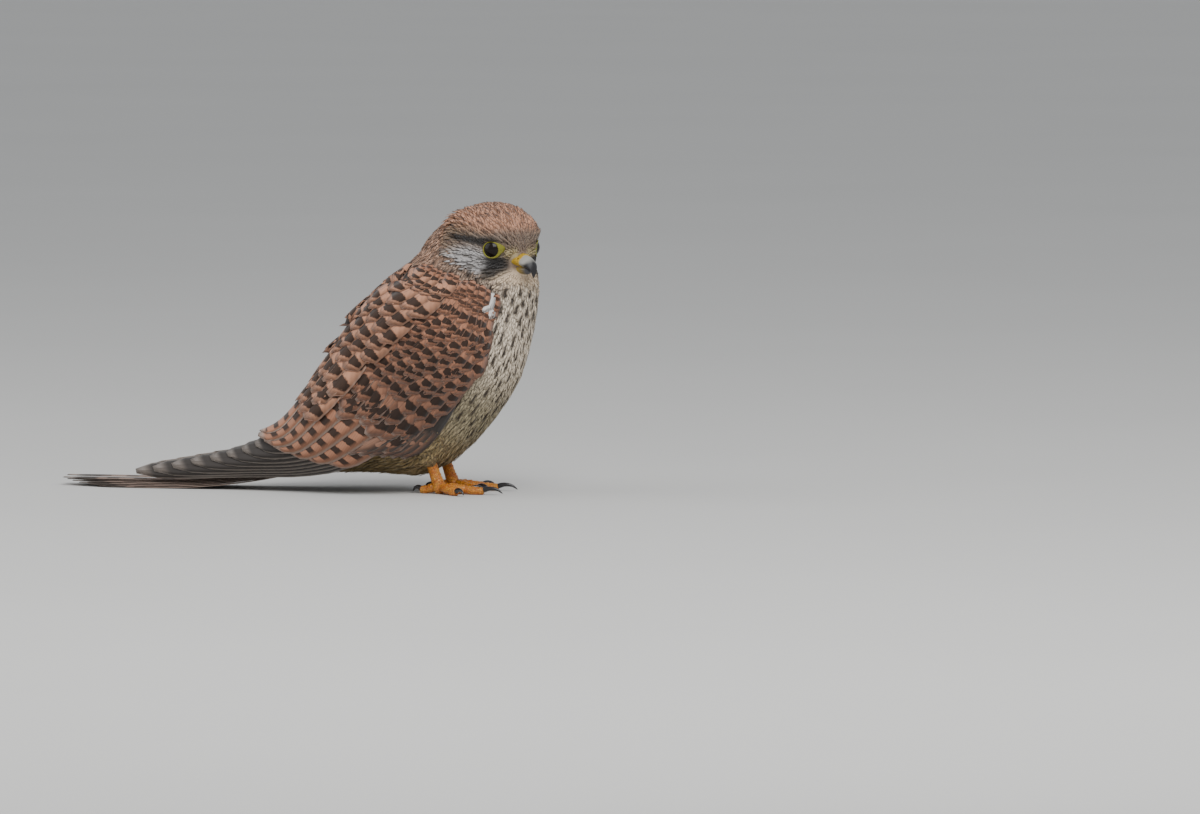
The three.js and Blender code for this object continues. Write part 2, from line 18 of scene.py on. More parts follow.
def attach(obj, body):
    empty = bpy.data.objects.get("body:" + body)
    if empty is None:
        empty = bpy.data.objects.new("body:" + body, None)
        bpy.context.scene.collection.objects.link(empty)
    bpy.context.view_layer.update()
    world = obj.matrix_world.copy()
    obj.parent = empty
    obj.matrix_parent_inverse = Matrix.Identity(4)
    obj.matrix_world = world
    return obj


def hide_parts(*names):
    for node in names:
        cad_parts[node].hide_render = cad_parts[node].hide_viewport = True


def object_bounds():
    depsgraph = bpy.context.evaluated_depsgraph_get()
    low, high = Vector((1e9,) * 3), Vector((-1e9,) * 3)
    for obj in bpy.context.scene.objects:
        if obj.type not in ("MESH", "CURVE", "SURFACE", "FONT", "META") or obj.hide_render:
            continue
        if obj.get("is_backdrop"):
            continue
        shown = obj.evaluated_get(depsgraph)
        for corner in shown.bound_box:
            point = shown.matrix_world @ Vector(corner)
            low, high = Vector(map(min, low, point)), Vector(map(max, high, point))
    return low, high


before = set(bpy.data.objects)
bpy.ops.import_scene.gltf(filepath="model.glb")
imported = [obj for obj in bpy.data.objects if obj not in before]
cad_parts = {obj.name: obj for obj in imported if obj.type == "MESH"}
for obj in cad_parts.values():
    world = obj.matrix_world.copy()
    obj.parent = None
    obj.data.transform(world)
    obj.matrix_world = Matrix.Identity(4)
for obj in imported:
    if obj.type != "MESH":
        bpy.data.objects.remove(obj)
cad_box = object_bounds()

MM = 0.001
rng = np.random.default_rng(7)
print("solids:", len(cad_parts), "box", cad_box)

# %% [markdown]
# ## Lines and sheets
# The body is a row of ellipses threaded on one bent line, and a folded wing is a sheet between three
# lines. Both could be sculpted by hand, but feathers are laid in rows along them, so the same few
# stations that shaped the solids are written here again, in millimetres, and read as smooth curves.

# %% A smooth line through points
class Line:
    """A spline through points; `at` counts by point, `even` by length."""

    def __init__(self, points):
        points = np.array(points, float)
        ends = 2 * points[0] - points[1], 2 * points[-1] - points[-2]
        self.points = np.vstack([ends[0], points, ends[1]])
        self.spans = len(points) - 1
        self.shares = np.linspace(0, 1, 201)
        steps = length_of(np.diff(self.at(self.shares), axis=0))
        self.lengths = np.concatenate([[0], np.cumsum(steps)])
        self.length = self.lengths[-1]

    def at(self, t):
        place = np.clip(np.asarray(t, float), 0, 1) * self.spans
        first = np.minimum(place.astype(int), self.spans - 1)
        w = (place - first)[..., None]
        a, b, c, d = (self.points[first + k] for k in range(4))
        ab, bc, cd = (length_of(q - p)[..., None] ** 0.5 for p, q in ((a, b), (b, c), (c, d)))
        leave = ((b - a) / ab - (c - a) / (ab + bc) + (c - b) / bc) * bc
        reach = ((c - b) / bc - (d - b) / (bc + cd) + (d - c) / cd) * bc
        return b + w * leave + w**2 * (3 * (c - b) - 2 * leave - reach) + w**3 * (2 * (b - c) + leave + reach)

    def even(self, s):
        return self.at(np.interp(s, self.lengths / self.length, self.shares))

    def heading(self, t):
        step = 1e-4
        t = np.clip(t, step, 1 - step)
        return unit(self.at(t + step) - self.at(t - step))


def smooth(x):
    x = np.clip(x, 0, 1)
    return x * x * (3 - 2 * x)


def mix(a, b, t):
    return a + (b - a) * t


def bell(*parts, power=1):
    """1 where all parts are 0 and next to nothing past 1; a higher power makes its sides steeper."""
    return np.exp(-sum(part**2 for part in parts) ** power)


def length_of(v):
    return np.linalg.norm(v, axis=-1)


def unit(v):
    return v / np.maximum(length_of(v)[..., None], 1e-9)


def corners_of(vertices):
    return np.array([corner.co for corner in vertices])


# %% The body: X, Z, half depth and half width from rump to crown
BODY = np.array([
    [-102, 14, 6, 11], [-76, 27, 20, 20], [-49, 45, 41, 33], [-30, 56, 50, 39], [-13, 74, 51.5, 42],
    [0, 92, 50, 42], [10.5, 111, 43.5, 39], [16, 127, 39, 31], [18.5, 141, 33, 19], [22, 153, 23.5, 16],
    [27, 163, 10, 10],
], float)
body_line = Line([[x, 0, z] for x, z, _, _ in BODY])
body_size = Line([[deep, wide, 0] for _, _, deep, wide in BODY])


def body_point(t, degrees, out=0.0):
    """A point of the body at t from rump to crown; angle 0 is the breast, 90 the right side, 180 the back."""
    way = body_line.heading(t)
    front = np.stack([way[..., 2], 0 * way[..., 0], -way[..., 0]], -1)
    size = body_size.at(t)
    round_end = np.sqrt(np.maximum(0, 1 - np.abs(2 * t - 1) ** 9))
    angle = np.radians(degrees)
    ahead = np.cos(angle) * (size[..., 0] + out) * round_end
    aside = -np.sin(angle) * (size[..., 1] + out) * round_end
    return body_line.at(t) + front * ahead[..., None] + np.stack([0 * aside, aside, 0 * aside], -1)


print("body line", round(body_line.length, 1), "mm")

# %% The folded wing: s from the bend to the tip, h from the lower edge to the back
WING_ROOTS = {
    "lower": [[0.648, 56, -1], [0.504, 50, -5], [0.378, 50, -6], [0.297, 46, -6]],
    "middle": [[0.666, 92, -1], [0.558, 97, -6], [0.45, 103, -7], [0.342, 108, -7]],
    "upper": [[0.675, 138, -2], [0.594, 152, -6], [0.504, 162, -7], [0.414, 167, -7], [0.324, 168, -7]],
}
WING_TIPS = {
    "lower": [[-37, -32, 14], [-74, -27, 8], [-112, -21.5, 7], [-150, -16, 7], [-190, -11, 6.5]],
    "middle": [[-58, -34, 44], [-87, -23.5, 25], [-119, -15.5, 17.5], [-155, -13, 14], [-191, -9.5, 9.5]],
    "upper": [[-84, -8, 49], [-101, -6, 33], [-127, -6, 25.5], [-160, -8, 20], [-192, -8, 12.5]],
}
wing_edges = {
    name: Line([*(body_point(np.float64(t), a, out) for t, a, out in WING_ROOTS[name]), *WING_TIPS[name]])
    for name in WING_ROOTS
}


def wing_flat(s, h):
    h = np.asarray(h)[..., None]
    lower, middle, upper = (wing_edges[name].even(s) for name in ("lower", "middle", "upper"))
    return lower * (1 - h) * (1 - 2 * h) + middle * 4 * h * (1 - h) + upper * h * (2 * h - 1)


def wing_axes(s, h):
    step = 0.004
    s = np.clip(s, step, 1 - step)
    along = (wing_flat(s + step, h) - wing_flat(s - step, h)) / (2 * step)
    across = (wing_flat(s, h + step) - wing_flat(s, h - step)) / (2 * step)
    return along, across, unit(np.cross(across, along))


def wing_point(s, h, out):
    kept = np.clip(s, 0, 1)
    along, _, up = wing_axes(kept, h)
    thin = (0.25 + 0.75 * smooth(s / 0.15)) * (1 - 0.3 * np.abs(2 * h - 1) ** 4)
    level = np.where(out > 0, out * thin, out)
    return wing_flat(kept, h) + along * (s - kept)[..., None] + up * level[..., None]


print("wing sheet", {name: round(edge.length) for name, edge in wing_edges.items()}, "mm")

# %% [markdown]
# ## Where the frame stands
# The stations above are written round the bird's own foot point, while the solids were centred on
# their own outline. The centre of an eyeball is known in both, so the difference is the move.

# %% The head's own axes, and the move from the bird's point to the frame
HEAD_CENTRE = Vector((31, 0, 145))
HEAD_YAW = math.radians(-38)
HEAD_PITCH = math.radians(-3)
EYE = {"forward": 10.4, "side": 13.2, "up": -1.8, "radius": 6.0, "turn": 57}
# The left ball sits a little deeper than its solid, so that less of it stands out past the face.
EYE_SET_IN = {-1: 0.0, 1: 0.6}
head_turn = Matrix.Rotation(HEAD_YAW, 3, "Z") @ Matrix.Rotation(-HEAD_PITCH, 3, "Y")
head_axes = np.array(head_turn)


def in_head(points):
    return np.asarray(points, float) @ head_axes.T + np.array(HEAD_CENTRE)


def from_head(points):
    return (np.asarray(points, float) - np.array(HEAD_CENTRE)) @ head_axes


eye_corners = corners_of(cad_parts["eye_right"].data.vertices)
eye_middle = in_head([EYE["forward"], -EYE["side"], EYE["up"]])
SHIFT = eye_corners.mean(0) / MM - eye_middle
SHIFT[1:] = 0
print("move from the bird's point to the frame, mm:", SHIFT.round(2))


def to_frame(points):
    return (np.asarray(points) + SHIFT) * MM


# %% [markdown]
# ## Shader sums as plain sums
# A material is a chain of small nodes. Written one by one they hide the idea, so a value from the
# chain is wrapped here in a class that plus, minus and times act on.

# %% Values and materials
class Wire:
    """A number that runs through a material; sums on it add Math nodes."""

    def __init__(self, finish, socket):
        self.finish = finish
        self.socket = socket

    def sum(self, operation, *values):
        return self.finish.node("ShaderNodeMath", {"operation": operation}, *values)

    def __add__(self, other):
        return self.sum("ADD", self, other)

    def __sub__(self, other):
        return self.sum("SUBTRACT", self, other)

    def __rsub__(self, other):
        return self.sum("SUBTRACT", other, self)

    def __mul__(self, other):
        return self.sum("MULTIPLY", self, other)

    def __truediv__(self, other):
        return self.sum("DIVIDE", self, other)

    __radd__ = __add__
    __rmul__ = __mul__

    def bounded(self):
        return self.finish.node("ShaderNodeClamp", {}, self)

    def size(self):
        return self.sum("ABSOLUTE", self)

    def over(self, low, high):
        """0 below low, 1 above high, and a soft step between."""
        return self.finish.node("ShaderNodeMapRange", {"interpolation_type": "SMOOTHSTEP"}, self, low, high)


class Finish:
    """A material: constants on its shader, and nodes added by one method."""

    def __init__(self, name, roughness=0.6, **constants):
        self.material = bpy.data.materials.new(name)
        self.material.use_nodes = True
        self.tree = self.material.node_tree
        self.shader = self.tree.nodes["Principled BSDF"]
        for label, value in {"Roughness": roughness, **constants}.items():
            self.shader.inputs[label.replace("_", " ")].default_value = value

    def node(self, kind, settings, *values, output=0, **named):
        made = self.tree.nodes.new(kind)
        for name, value in settings.items():
            setattr(made, name, value)
        for place, value in [*enumerate(values), *named.items()]:
            self.join(value, made.inputs[place.replace("_", " ") if isinstance(place, str) else place])
        return Wire(self, made.outputs[output])

    def join(self, value, socket):
        if isinstance(value, Wire):
            self.tree.links.new(value.socket, socket)
        elif value is not None:
            socket.default_value = value

    def mixed(self, factor, first, second):
        """Two colours, mixed; the five sockets before them are for numbers and vectors."""
        others = [None] * 5
        return self.node("ShaderNodeMix", {"data_type": "RGBA"}, factor, *others, first, second, output=2)

    def place(self):
        return self.node("ShaderNodeTexCoord", {}, output=3)

    def noise(self, scale, detail=2.0):
        return self.node("ShaderNodeTexNoise", {}, Vector=self.place(), Scale=scale, Detail=detail)

    def feed(self, label, value):
        self.join(value, self.shader.inputs[label])

    def bump(self, height, strength, distance=0.0003):
        dents = self.node("ShaderNodeBump", {}, Strength=strength, Distance=distance, Height=height)
        self.feed("Normal", dents)


def shade(code):
    """A colour from its web code, as the linear numbers that shaders use."""
    parts = [int(code[i : i + 2], 16) / 255 for i in (1, 3, 5)]
    return np.array([*(p / 12.92 if p < 0.04045 else ((p + 0.055) / 1.055) ** 2.4 for p in parts), 1.0])


# %% [markdown]
# ## Meshes as pieces
# Every piece ends as a mesh in the scene, neither turned nor scaled. The few lines that do this for
# all of them stand here once.

# %% Meshes and pieces
def mesh_of(name, net):
    mesh = bpy.data.meshes.new(name)
    net.to_mesh(mesh)
    net.free()
    return mesh


def mesh_from(name, points, faces):
    mesh = bpy.data.meshes.new(name)
    mesh.from_pydata(points, [], faces)
    return mesh


def in_scene(name, data):
    piece = bpy.data.objects.new(name, data)
    bpy.context.scene.collection.objects.link(piece)
    return piece


# %% [markdown]
# ## One feather
# A feather is a thin closed vane: broad from near its root, round at its tip, with a shaft down the
# middle. Down near the skin it frays into soft tufts. One pattern is cut from a grid and closed
# underneath, and every feather or tuft is a copy of it, bent to where it lies. The same pattern,
# larger, also makes the flat pad of flesh that a folded wing has under its coverts.

# %% The feather pattern
def pattern(columns, rows):
    """A closed vane as (across -1..1, along 0..1, 1 under or 0 on top) for each corner, and its faces."""
    vane = bmesh.new()
    bmesh.ops.create_grid(vane, x_segments=columns, y_segments=rows, size=0.5)
    copy = bmesh.ops.duplicate(vane, geom=[*vane.verts, *vane.edges, *vane.faces])["geom"]
    under = [f for f in copy if isinstance(f, bmesh.types.BMFace)]
    bmesh.ops.reverse_faces(vane, faces=under)
    inner = {v for f in under for v in f.verts if not v.is_boundary}
    bmesh.ops.translate(vane, verts=list(inner), vec=(0, 0, -1))
    bmesh.ops.remove_doubles(vane, verts=vane.verts, dist=1e-4)
    vane.verts.index_update()
    corners = corners_of(vane.verts)
    faces = np.array([[v.index for v in f.verts] for f in vane.faces])
    vane.free()
    across, along, height = corners.T
    return {"across": across * 2, "along": along + 0.5, "under": -height, "faces": faces}


def vane_width(v):
    tip = np.maximum(0, v - 0.74) / 0.26
    return (0.5 + 0.5 * smooth(v / 0.3)) * np.sqrt(np.maximum(0, 1 - 0.94 * tip**2.4))


def point_width(v):
    """A narrower body feather with a soft, pointed end."""
    taper = 2.976 * np.maximum(0, v - 0.5) ** 1.7
    return (0.45 + 0.55 * smooth(v / 0.35)) * np.sqrt(np.maximum(0, 1 - taper))


VANE_THICK = 0.15
TUFT = pattern(2, 3)
COVER = pattern(2, 5)
LONG = pattern(4, 14)
print("faces in a tuft, a cover feather and a long feather:", *(len(p["faces"]) for p in (TUFT, COVER, LONG)))


# %% [markdown]
# ## The hidden body
# Under the feathers a bird is one skin from bill to tail, with no seam between head, neck and body.
# Sculpting it again would lose the solids' measured shape. So copies of the solids of flesh are
# joined, remade as one even net, smoothed until no seam or facet is left, and drawn in by the depth
# of the feathers. Copies of the eyes, the cere and the lower bill go in with them, so that the skin
# closes behind these instead of leaving a hole round each.

# %% The skin
FLESH = ["head", "neck", "torso", "thigh_right", "thigh_left"]
SET_IN_FLESH = ["eye_right", "eye_left", "cere", "bill_lower"]
COAT_DEPTH = 1.3
PAD = {"from": -0.02, "to": 0.42, "low": 0.02, "high": 0.98, "up": 8.3, "down": -4.0, "thin_up": 3.0}


def wing_pad():
    """The arm's flesh as a closed pad on the right wing's sheet, in the frame, with its faces."""
    kind = pattern(22, 40)
    s = mix(PAD["from"], PAD["to"], kind["along"])
    h = mix(PAD["low"], PAD["high"], 0.5 + 0.5 * kind["across"])
    up = mix(PAD["up"], PAD["thin_up"], smooth((s - 0.24) / 0.08))
    return wing_point(s, h, np.where(kind["under"] > 0.5, PAD["down"], up)), kind["faces"]


def flesh_piece(name):
    whole = bmesh.new()
    for node in FLESH + SET_IN_FLESH:
        whole.from_mesh(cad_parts[node].data)
    points, faces = wing_pad()
    for turn in (1, -1):
        pad = mesh_from("pad", to_frame(points * [1, turn, 1]), faces if turn > 0 else faces[:, ::-1])
        whole.from_mesh(pad)
        bpy.data.meshes.remove(pad)
    bmesh.ops.remove_doubles(whole, verts=whole.verts, dist=1e-7)
    return in_scene(name, mesh_of(name, whole))


def settle(piece, settings):
    """Adds modifiers to a piece and makes them part of its mesh."""
    for kind, values in settings:
        modifier = piece.modifiers.new(kind.title(), kind)
        for name, value in values.items():
            setattr(modifier, name, value)
    graph = bpy.context.evaluated_depsgraph_get()
    made = bpy.data.meshes.new_from_object(piece.evaluated_get(graph))
    piece.modifiers.clear()
    old = piece.data
    piece.data = made
    bpy.data.meshes.remove(old)


skin = flesh_piece("skin")
settle(skin, [
    ("REMESH", {"mode": "VOXEL", "voxel_size": 1.1 * MM, "use_smooth_shade": True}),
    ("SMOOTH", {"factor": 0.6, "iterations": 14}),
])
skin_normals = np.array([v.normal for v in skin.data.vertices])
skin_points = corners_of(skin.data.vertices) - skin_normals * COAT_DEPTH * MM
skin.data.vertices.foreach_set("co", skin_points.ravel())
settle(skin, [("SMOOTH", {"factor": 0.5, "iterations": 6})])
for face in skin.data.polygons:
    face.use_smooth = True
print("skin faces", len(skin.data.polygons))

net = bmesh.new()
net.from_mesh(skin.data)
skin_tree = BVHTree.FromBMesh(net)
net.free()


def on_skin(points):
    """The nearest points of the skin, and which way is out there, for points in frame metres."""
    hits = [skin_tree.find_nearest(Vector(p))[:2] for p in points.reshape(-1, 3)]
    spots, outs = (np.array(part).reshape(points.shape) for part in zip(*hits))
    return spots, outs


wing_net = bmesh.new()
for node in ("coverts", "scapulars", "secondaries", "primaries"):
    for side in ("right", "left"):
        wing_net.from_mesh(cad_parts[f"wing_{side}_{node}"].data)
wing_tree = BVHTree.FromBMesh(wing_net)
wing_net.free()


UNDER_WING_REACH = 14 * MM


def under_wing(spots, outs):
    """True where a ray outwards from the skin meets a folded wing's feathers."""
    rays = ((Vector(p + n * 0.5 * MM), Vector(n)) for p, n in zip(spots, outs))
    return np.array([wing_tree.ray_cast(spot, way, UNDER_WING_REACH)[0] is not None for spot, way in rays])


# %% Many feathers as one piece
def feather_piece(name, kind, points, ground, mark, atlas, cell):
    """points: feathers x corners x 3 in the frame; ground and mark: a colour for each feather or corner."""
    count, corners = points.shape[:2]
    faces = (kind["faces"][None] + np.arange(count)[:, None, None] * corners).reshape(-1, 4)
    mesh = mesh_from(name, points.reshape(-1, 3), faces)
    for label, values in (("Ground", ground), ("Mark", mark)):
        colours = np.ones((count, corners, 4))
        colours[..., : values.shape[-1]] = values[:, None] if values.ndim == 2 else values
        mesh.attributes.new(label, "FLOAT_COLOR", "POINT").data.foreach_set("color", colours.ravel())
    vane = np.stack([kind["across"] * 0.5 + 0.5, kind["along"]], -1)
    corner_of = faces.ravel() % corners
    feather_of = faces.ravel() // corners
    mesh.uv_layers.new(name="Vane").data.foreach_set("uv", vane[corner_of].ravel())
    patch = atlas[feather_of] + (vane[corner_of] - 0.5) * cell
    mesh.uv_layers.new(name="OFBake").data.foreach_set("uv", patch.ravel())
    mesh.shade_smooth()
    piece = in_scene(name, mesh)
    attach(piece, "root")
    print(name, count, "feathers", len(faces) * 2, "triangles")
    return piece


def as_columns(count, *values):
    """Each value as one column, with a number for each feather."""
    return (np.broadcast_to(value, count)[:, None] for value in values)


def wing_vanes(kind, root, tip, half, out, tilt, rise, sink):
    """Feathers on the wing's sheet, right side: each argument has one row or number for each feather."""
    u, v = kind["across"][None], kind["along"][None]
    half, out, tilt, rise, sink = as_columns(len(root), half, out, tilt, rise, sink)
    s = mix(root[:, :1], tip[:, :1], v)
    middle = mix(root[:, 1:], tip[:, 1:], v)
    across = length_of(wing_axes(s, middle)[1])
    h = middle + u * vane_width(v) * half / across
    out_now = smooth(v / 0.35)
    arch = 0.05 * half * (1 - u**2) * vane_width(v)
    lean = tilt * (0.5 - 0.5 * u) + rise * v
    lift = out + out_now * lean - (1 - out_now) * sink + arch - kind["under"] * VANE_THICK
    return wing_point(s, h, lift)


# %% [markdown]
# ## Colours by place
# Colour on a bird belongs to the place on its body, and each feather carries its part of it. So the
# colours are functions of place, used for the coat and for the skin below it alike. Streaks on breast
# and crown follow rows of feathers: a place is first turned into "how far along and how far aside on
# its feather", and the streak is drawn there.

# %% Named colours
RUFOUS = shade("#bf8b6f")
COVERT_RUFOUS = shade("#b07b60")
CROWN = shade("#c79274")
CROWN_SIDE = shade("#87705b")
STREAK = shade("#4e382c")
BROW = shade("#7b6e64")
CHEEK = shade("#b0acaa")
CHEEK_SHADE = shade("#595049")
FACE_DARK = shade("#1e1d1d")
LORES = shade("#b9a880")
FOREHEAD = shade("#8a7768")
THROAT = shade("#dec6a9")
NAPE = shade("#c0987f")
NECK_SIDE = shade("#a8917f")
CREAM = shade("#f1e0c9")
# Belly and lower-belly colours: the bird's buff, painted darker for the shade under the body.
SHADED_BELLY = shade("#a39679")
SHADED_OLIVE_BUFF = shade("#90794f")
DROP_DARK = shade("#2e231b")
FLIGHT = shade("#3a3532")
TAIL_GREY = shade("#8a7468")
PALE_EDGE = shade("#dccbbd")
WHITE = shade("#efe9e4")
DARK = shade("#1f1915")


def blend(first, second, share):
    return first + (second - first) * np.asarray(share)[..., None]


# %% Feathers as cells, and the drops on them
def cells_at(along, around, columns, step):
    """The feather at a place: how far along it (0..1), how far aside (-0.5..0.5), and two draws."""
    column_at = around * columns
    column = np.floor(column_at)
    row_at = along / step + 0.5 * (column % 2) + 0.35 * (np.sin(column * 27.17) * 4375.85 % 1)
    row = np.floor(row_at)
    draw = np.sin(row * 12.9898 + column * 78.233) * 43758.5453 % 1
    other = np.sin(row * 39.346 + column * 11.135) * 24634.6345 % 1
    return row_at - row, column_at - column - 0.5, draw, other


def drop(place, aside, half):
    """1 inside a mark down the feather's middle that swells towards the tip and ends before it."""
    length = smooth((place - 0.08) / 0.3) * (1 - smooth((place - 0.8) / 0.16))
    reach = half * (0.45 + 0.75 * place)
    return length * (1 - smooth(np.abs(aside) / reach - 0.5))


# %% Colour of the body, at t from rump to crown and at an angle from the breast
BODY_CELLS = {"columns": 48, "step": 10.0}


def back_share(turn):
    return smooth((turn - 66) / 30)


def body_cells(t, angle):
    return cells_at((1 - t) * body_line.length, angle / 360, **BODY_CELLS)


def body_colour(t, angle):
    turn = np.abs((angle + 180) % 360 - 180)
    # Down the body the ground turns to the belly and lower-belly colours, partly the bird's buff and partly
    # painted shade under the body.
    ground = blend(CREAM, SHADED_BELLY, smooth((0.56 - t) / 0.18))
    ground = blend(ground, SHADED_OLIVE_BUFF, 0.85 * smooth((0.37 - t) / 0.1) * smooth((t + 0.05) / 0.15))
    neck = smooth((t - 0.64) / 0.08)
    ground = blend(ground, blend(NECK_SIDE, NAPE, smooth((turn - 95) / 45)), neck * smooth((turn - 30) / 35))
    ground = blend(ground, RUFOUS, back_share(turn) * (1 - 0.9 * neck))
    place, aside, draw, other = body_cells(t, angle)
    share = mix(0.95, 0.75, smooth((0.6 - t) / 0.2)) * smooth((t - 0.3) / 0.08)
    half = mix(0.38, 0.22, smooth((0.66 - t) / 0.14)) + 0.1 * back_share(turn)
    mark = drop(place, aside + (draw - 0.5) * 0.3, half) * (other < share)
    # Painted shade: each feather's ground is a little darker at its sides and towards its root, for the shade
    # between feathers.
    edge = 1 - 0.12 * smooth(np.abs(aside) * 2) * (1 - place)
    ground[..., :3] *= edge[..., None]
    return blend(ground, DROP_DARK, mark * mix(0.95, 0.65, neck * smooth((turn - 80) / 35)))


# %% Colour of the head, from points in its own axes: x forward, y aside, z up
HEAD_CELLS = {"columns": 44, "step": 8.5}
BILL_ROOT = np.array([21.0, 0, -8.5])
CROWN_POLE = unit(np.array([22.0, 0, -6.0]))


def head_cells(face):
    away = face - BILL_ROOT
    side = np.arctan2(face[..., 1], face @ np.cross(CROWN_POLE, [0, 1, 0]))
    return cells_at(length_of(away), side / (2 * math.pi), **HEAD_CELLS)


def brow_at(face):
    """1 along the ridge over each eye."""
    x, y, z = face[..., 0], np.abs(face[..., 1]), face[..., 2]
    return bell((z - 4.8) / 2.0) * smooth((y - 6) / 5) * smooth((19 - x) / 4) * smooth((x + 6) / 10)


def head_colour(face):
    x, y, z = face[..., 0], np.abs(face[..., 1]), face[..., 2]
    place, aside, draw, other = head_cells(face)
    mark = drop(place, aside + (draw - 0.5) * 0.4, 0.22) * (other < 0.85)

    top = smooth((z - 5 + 0.12 * x) / 9)
    ground = blend(CROWN_SIDE, CROWN, np.clip(top + smooth((-x - 14) / 10), 0, 1))
    ground = blend(ground, FOREHEAD, 0.9 * smooth((x - 11) / 5) * (1 - smooth((z - 6) / 7)))
    ground = blend(ground, STREAK, 0.8 * mark)

    cheek = bell((x - 0.5) / 13.5, (z + 11.5) / 10.5, power=1.6) * smooth((y - 5) / 6)
    silver = blend(CHEEK, CHEEK_SHADE, 0.65 * mark * smooth((14 - x) / 8))
    ground = blend(ground, silver, np.clip(1.5 * cheek, 0, 1))
    brow = brow_at(face)
    ground = blend(ground, BROW, 0.8 * brow)
    throat = smooth((-z - 11.5) / 4) * smooth((x - 4 - 0.5 * y + 5) / 7)
    ground = blend(ground, THROAT, throat)
    lores = bell((x - 19.8) / 3, (z + 4.5) / 3.2) * smooth((y - 2) / 3)
    ground = blend(ground, LORES, np.clip(1.3 * lores, 0, 1))

    level = 1.7 - 0.12 * (x - 8)
    behind_eye = smooth((11 - x) / 3) * smooth((x + 17) / 9) * smooth((y - 8) / 5)
    line = bell((z - level) / 2.1, power=2) * behind_eye
    from_eye = np.hypot(x - EYE["forward"], z - EYE["up"])
    # Painted shadow: a dark arc over the top of each eye, the dark edge of the lid together with the shade
    # that the brow casts on it.
    lid_line_and_brow_shadow = bell((from_eye - 5.6) / 1.3, power=2) * smooth((z - 0.3) / 2.2) * smooth((y - 5) / 4)
    ground = blend(ground, FACE_DARK, np.clip(line + 0.8 * lid_line_and_brow_shadow, 0, 0.92))
    middle = 13.6 - 0.2 * (z + 8.5)
    wide = mix(4.3, 2.2, smooth((-z - 12) / 8))
    stripe = bell((x - middle) / wide, power=2) * smooth((-z - 4.5) / 3) * smooth((z + 24) / 8)
    return blend(ground, FACE_DARK, 0.95 * stripe * smooth((y - 5) / 3))


# %% [markdown]
# ## The wings
# A folded wing shows its tracts as steps: small coverts over the bend, larger ones behind, then the
# greater coverts, with the tertials and secondaries coming out from under them and the dark primaries
# last. The long scapulars hang over the wing's upper edge from the back. Each tract is a few rows
# across the sheet, so each row is one line: where it starts, how long and wide its feathers are, how
# strong their spot and pale edge. A few of the smallest, at the bend, are white.

# %% The wing's tracts
BED_TOP = 8.6


def rows_of(rows, root, step, **shared):
    row = {"low": 0.03, "high": 0.68, "spot": 1, "edge": 0.12, **shared}
    return [{"root": root + step * k, **row} for k in range(rows)]


BEND = rows_of(3, -0.022, 0.013, length=0.036, count=15, half=3.2, low=0.0, high=0.99, spot=0.9)
LESSER = rows_of(7, 0.006, 0.026, length=0.07, count=11, half=4.4, low=0.02, high=0.66)
MEDIAN = rows_of(2, 0.176, 0.032, length=0.09, count=10, half=5.0)
GREATER = rows_of(2, 0.232, 0.034, length=0.13, count=10, half=5.8, low=0.09, edge=0.35)
FRONT_SCAPULARS = rows_of(2, -0.012, 0.018, length=0.058, count=5, half=5.6, low=0.56, high=1.0)
SHORT_SCAPULARS = rows_of(6, 0.024, 0.04, length=0.105, count=4, half=7.4, low=0.6, high=0.99)
LONG_SCAPULARS = rows_of(3, 0.262, 0.045, length=0.13, count=4, half=7.6, low=0.63, high=0.97, edge=0.3)


def tract(rows):
    """Roots, tips, half widths and marks of all the feathers of some rows."""
    root, tip, half, marks = [], [], [], []
    for number, row in enumerate(rows):
        count = row["count"]
        h = mix(row["low"], row["high"], (np.arange(count) + 0.5 * (number % 2)) / (count - 0.5))
        start = row["root"] + rng.normal(0, 0.005, count)
        end = start + row["length"] * rng.uniform(0.93, 1.07, count)
        root.append(np.stack([start, h], -1))
        tip.append(np.stack([end, h + rng.normal(0, 0.012, count)], -1))
        half.append(row["half"] * rng.uniform(0.94, 1.06, count))
        marks.append(marks_of(count, row["spot"], 0, row["edge"]))
    return np.vstack(root), np.vstack(tip), np.concatenate(half), np.vstack(marks)


def marks_of(count, spot, bars, edge):
    """The Mark colours: how dark the spot, how dark the bars, a draw, and how pale the edge."""
    parts = (np.broadcast_to(a, count) for a in (spot, bars, rng.uniform(0, 1, count), edge))
    return np.stack(list(parts), -1)


def toned(ground, spread):
    """The same colours, with some feathers a little lighter and some darker."""
    tone = rng.normal(1, spread, (len(ground), *[1] * (ground.ndim - 1)))
    ground[..., :3] *= tone
    return np.clip(ground, 0, 1)


def ground_for(count, base, spread=0.07):
    return toned(np.tile(base, (count, 1)), spread)


def sheet_of_cells(count):
    """Places for large feathers on their own sheet, and the size of a cell."""
    side = math.ceil(math.sqrt(count))
    order = np.arange(count)
    return np.stack([(order % side + 0.5) / side, (order // side + 0.5) / side], -1), 0.94 / side


wing_pieces = {}


def dress_wings(name, kind, root, tip, half, marks, ground, level, tilt=0.9, rise=0.7, sink=1.2):
    """The same feathers on both wings, as one piece for each."""
    points = wing_vanes(kind, root, tip, half, level, tilt, rise, sink)
    atlas, cell = sheet_of_cells(len(root))
    for side, turn in (("right", 1), ("left", -1)):
        placed = to_frame(points * np.array([1, turn, 1]))
        shape = kind if turn > 0 else {**kind, "faces": kind["faces"][:, ::-1]}
        wing_pieces[name, side] = feather_piece(f"{name}_{side}", shape, placed, ground, marks, atlas, cell)


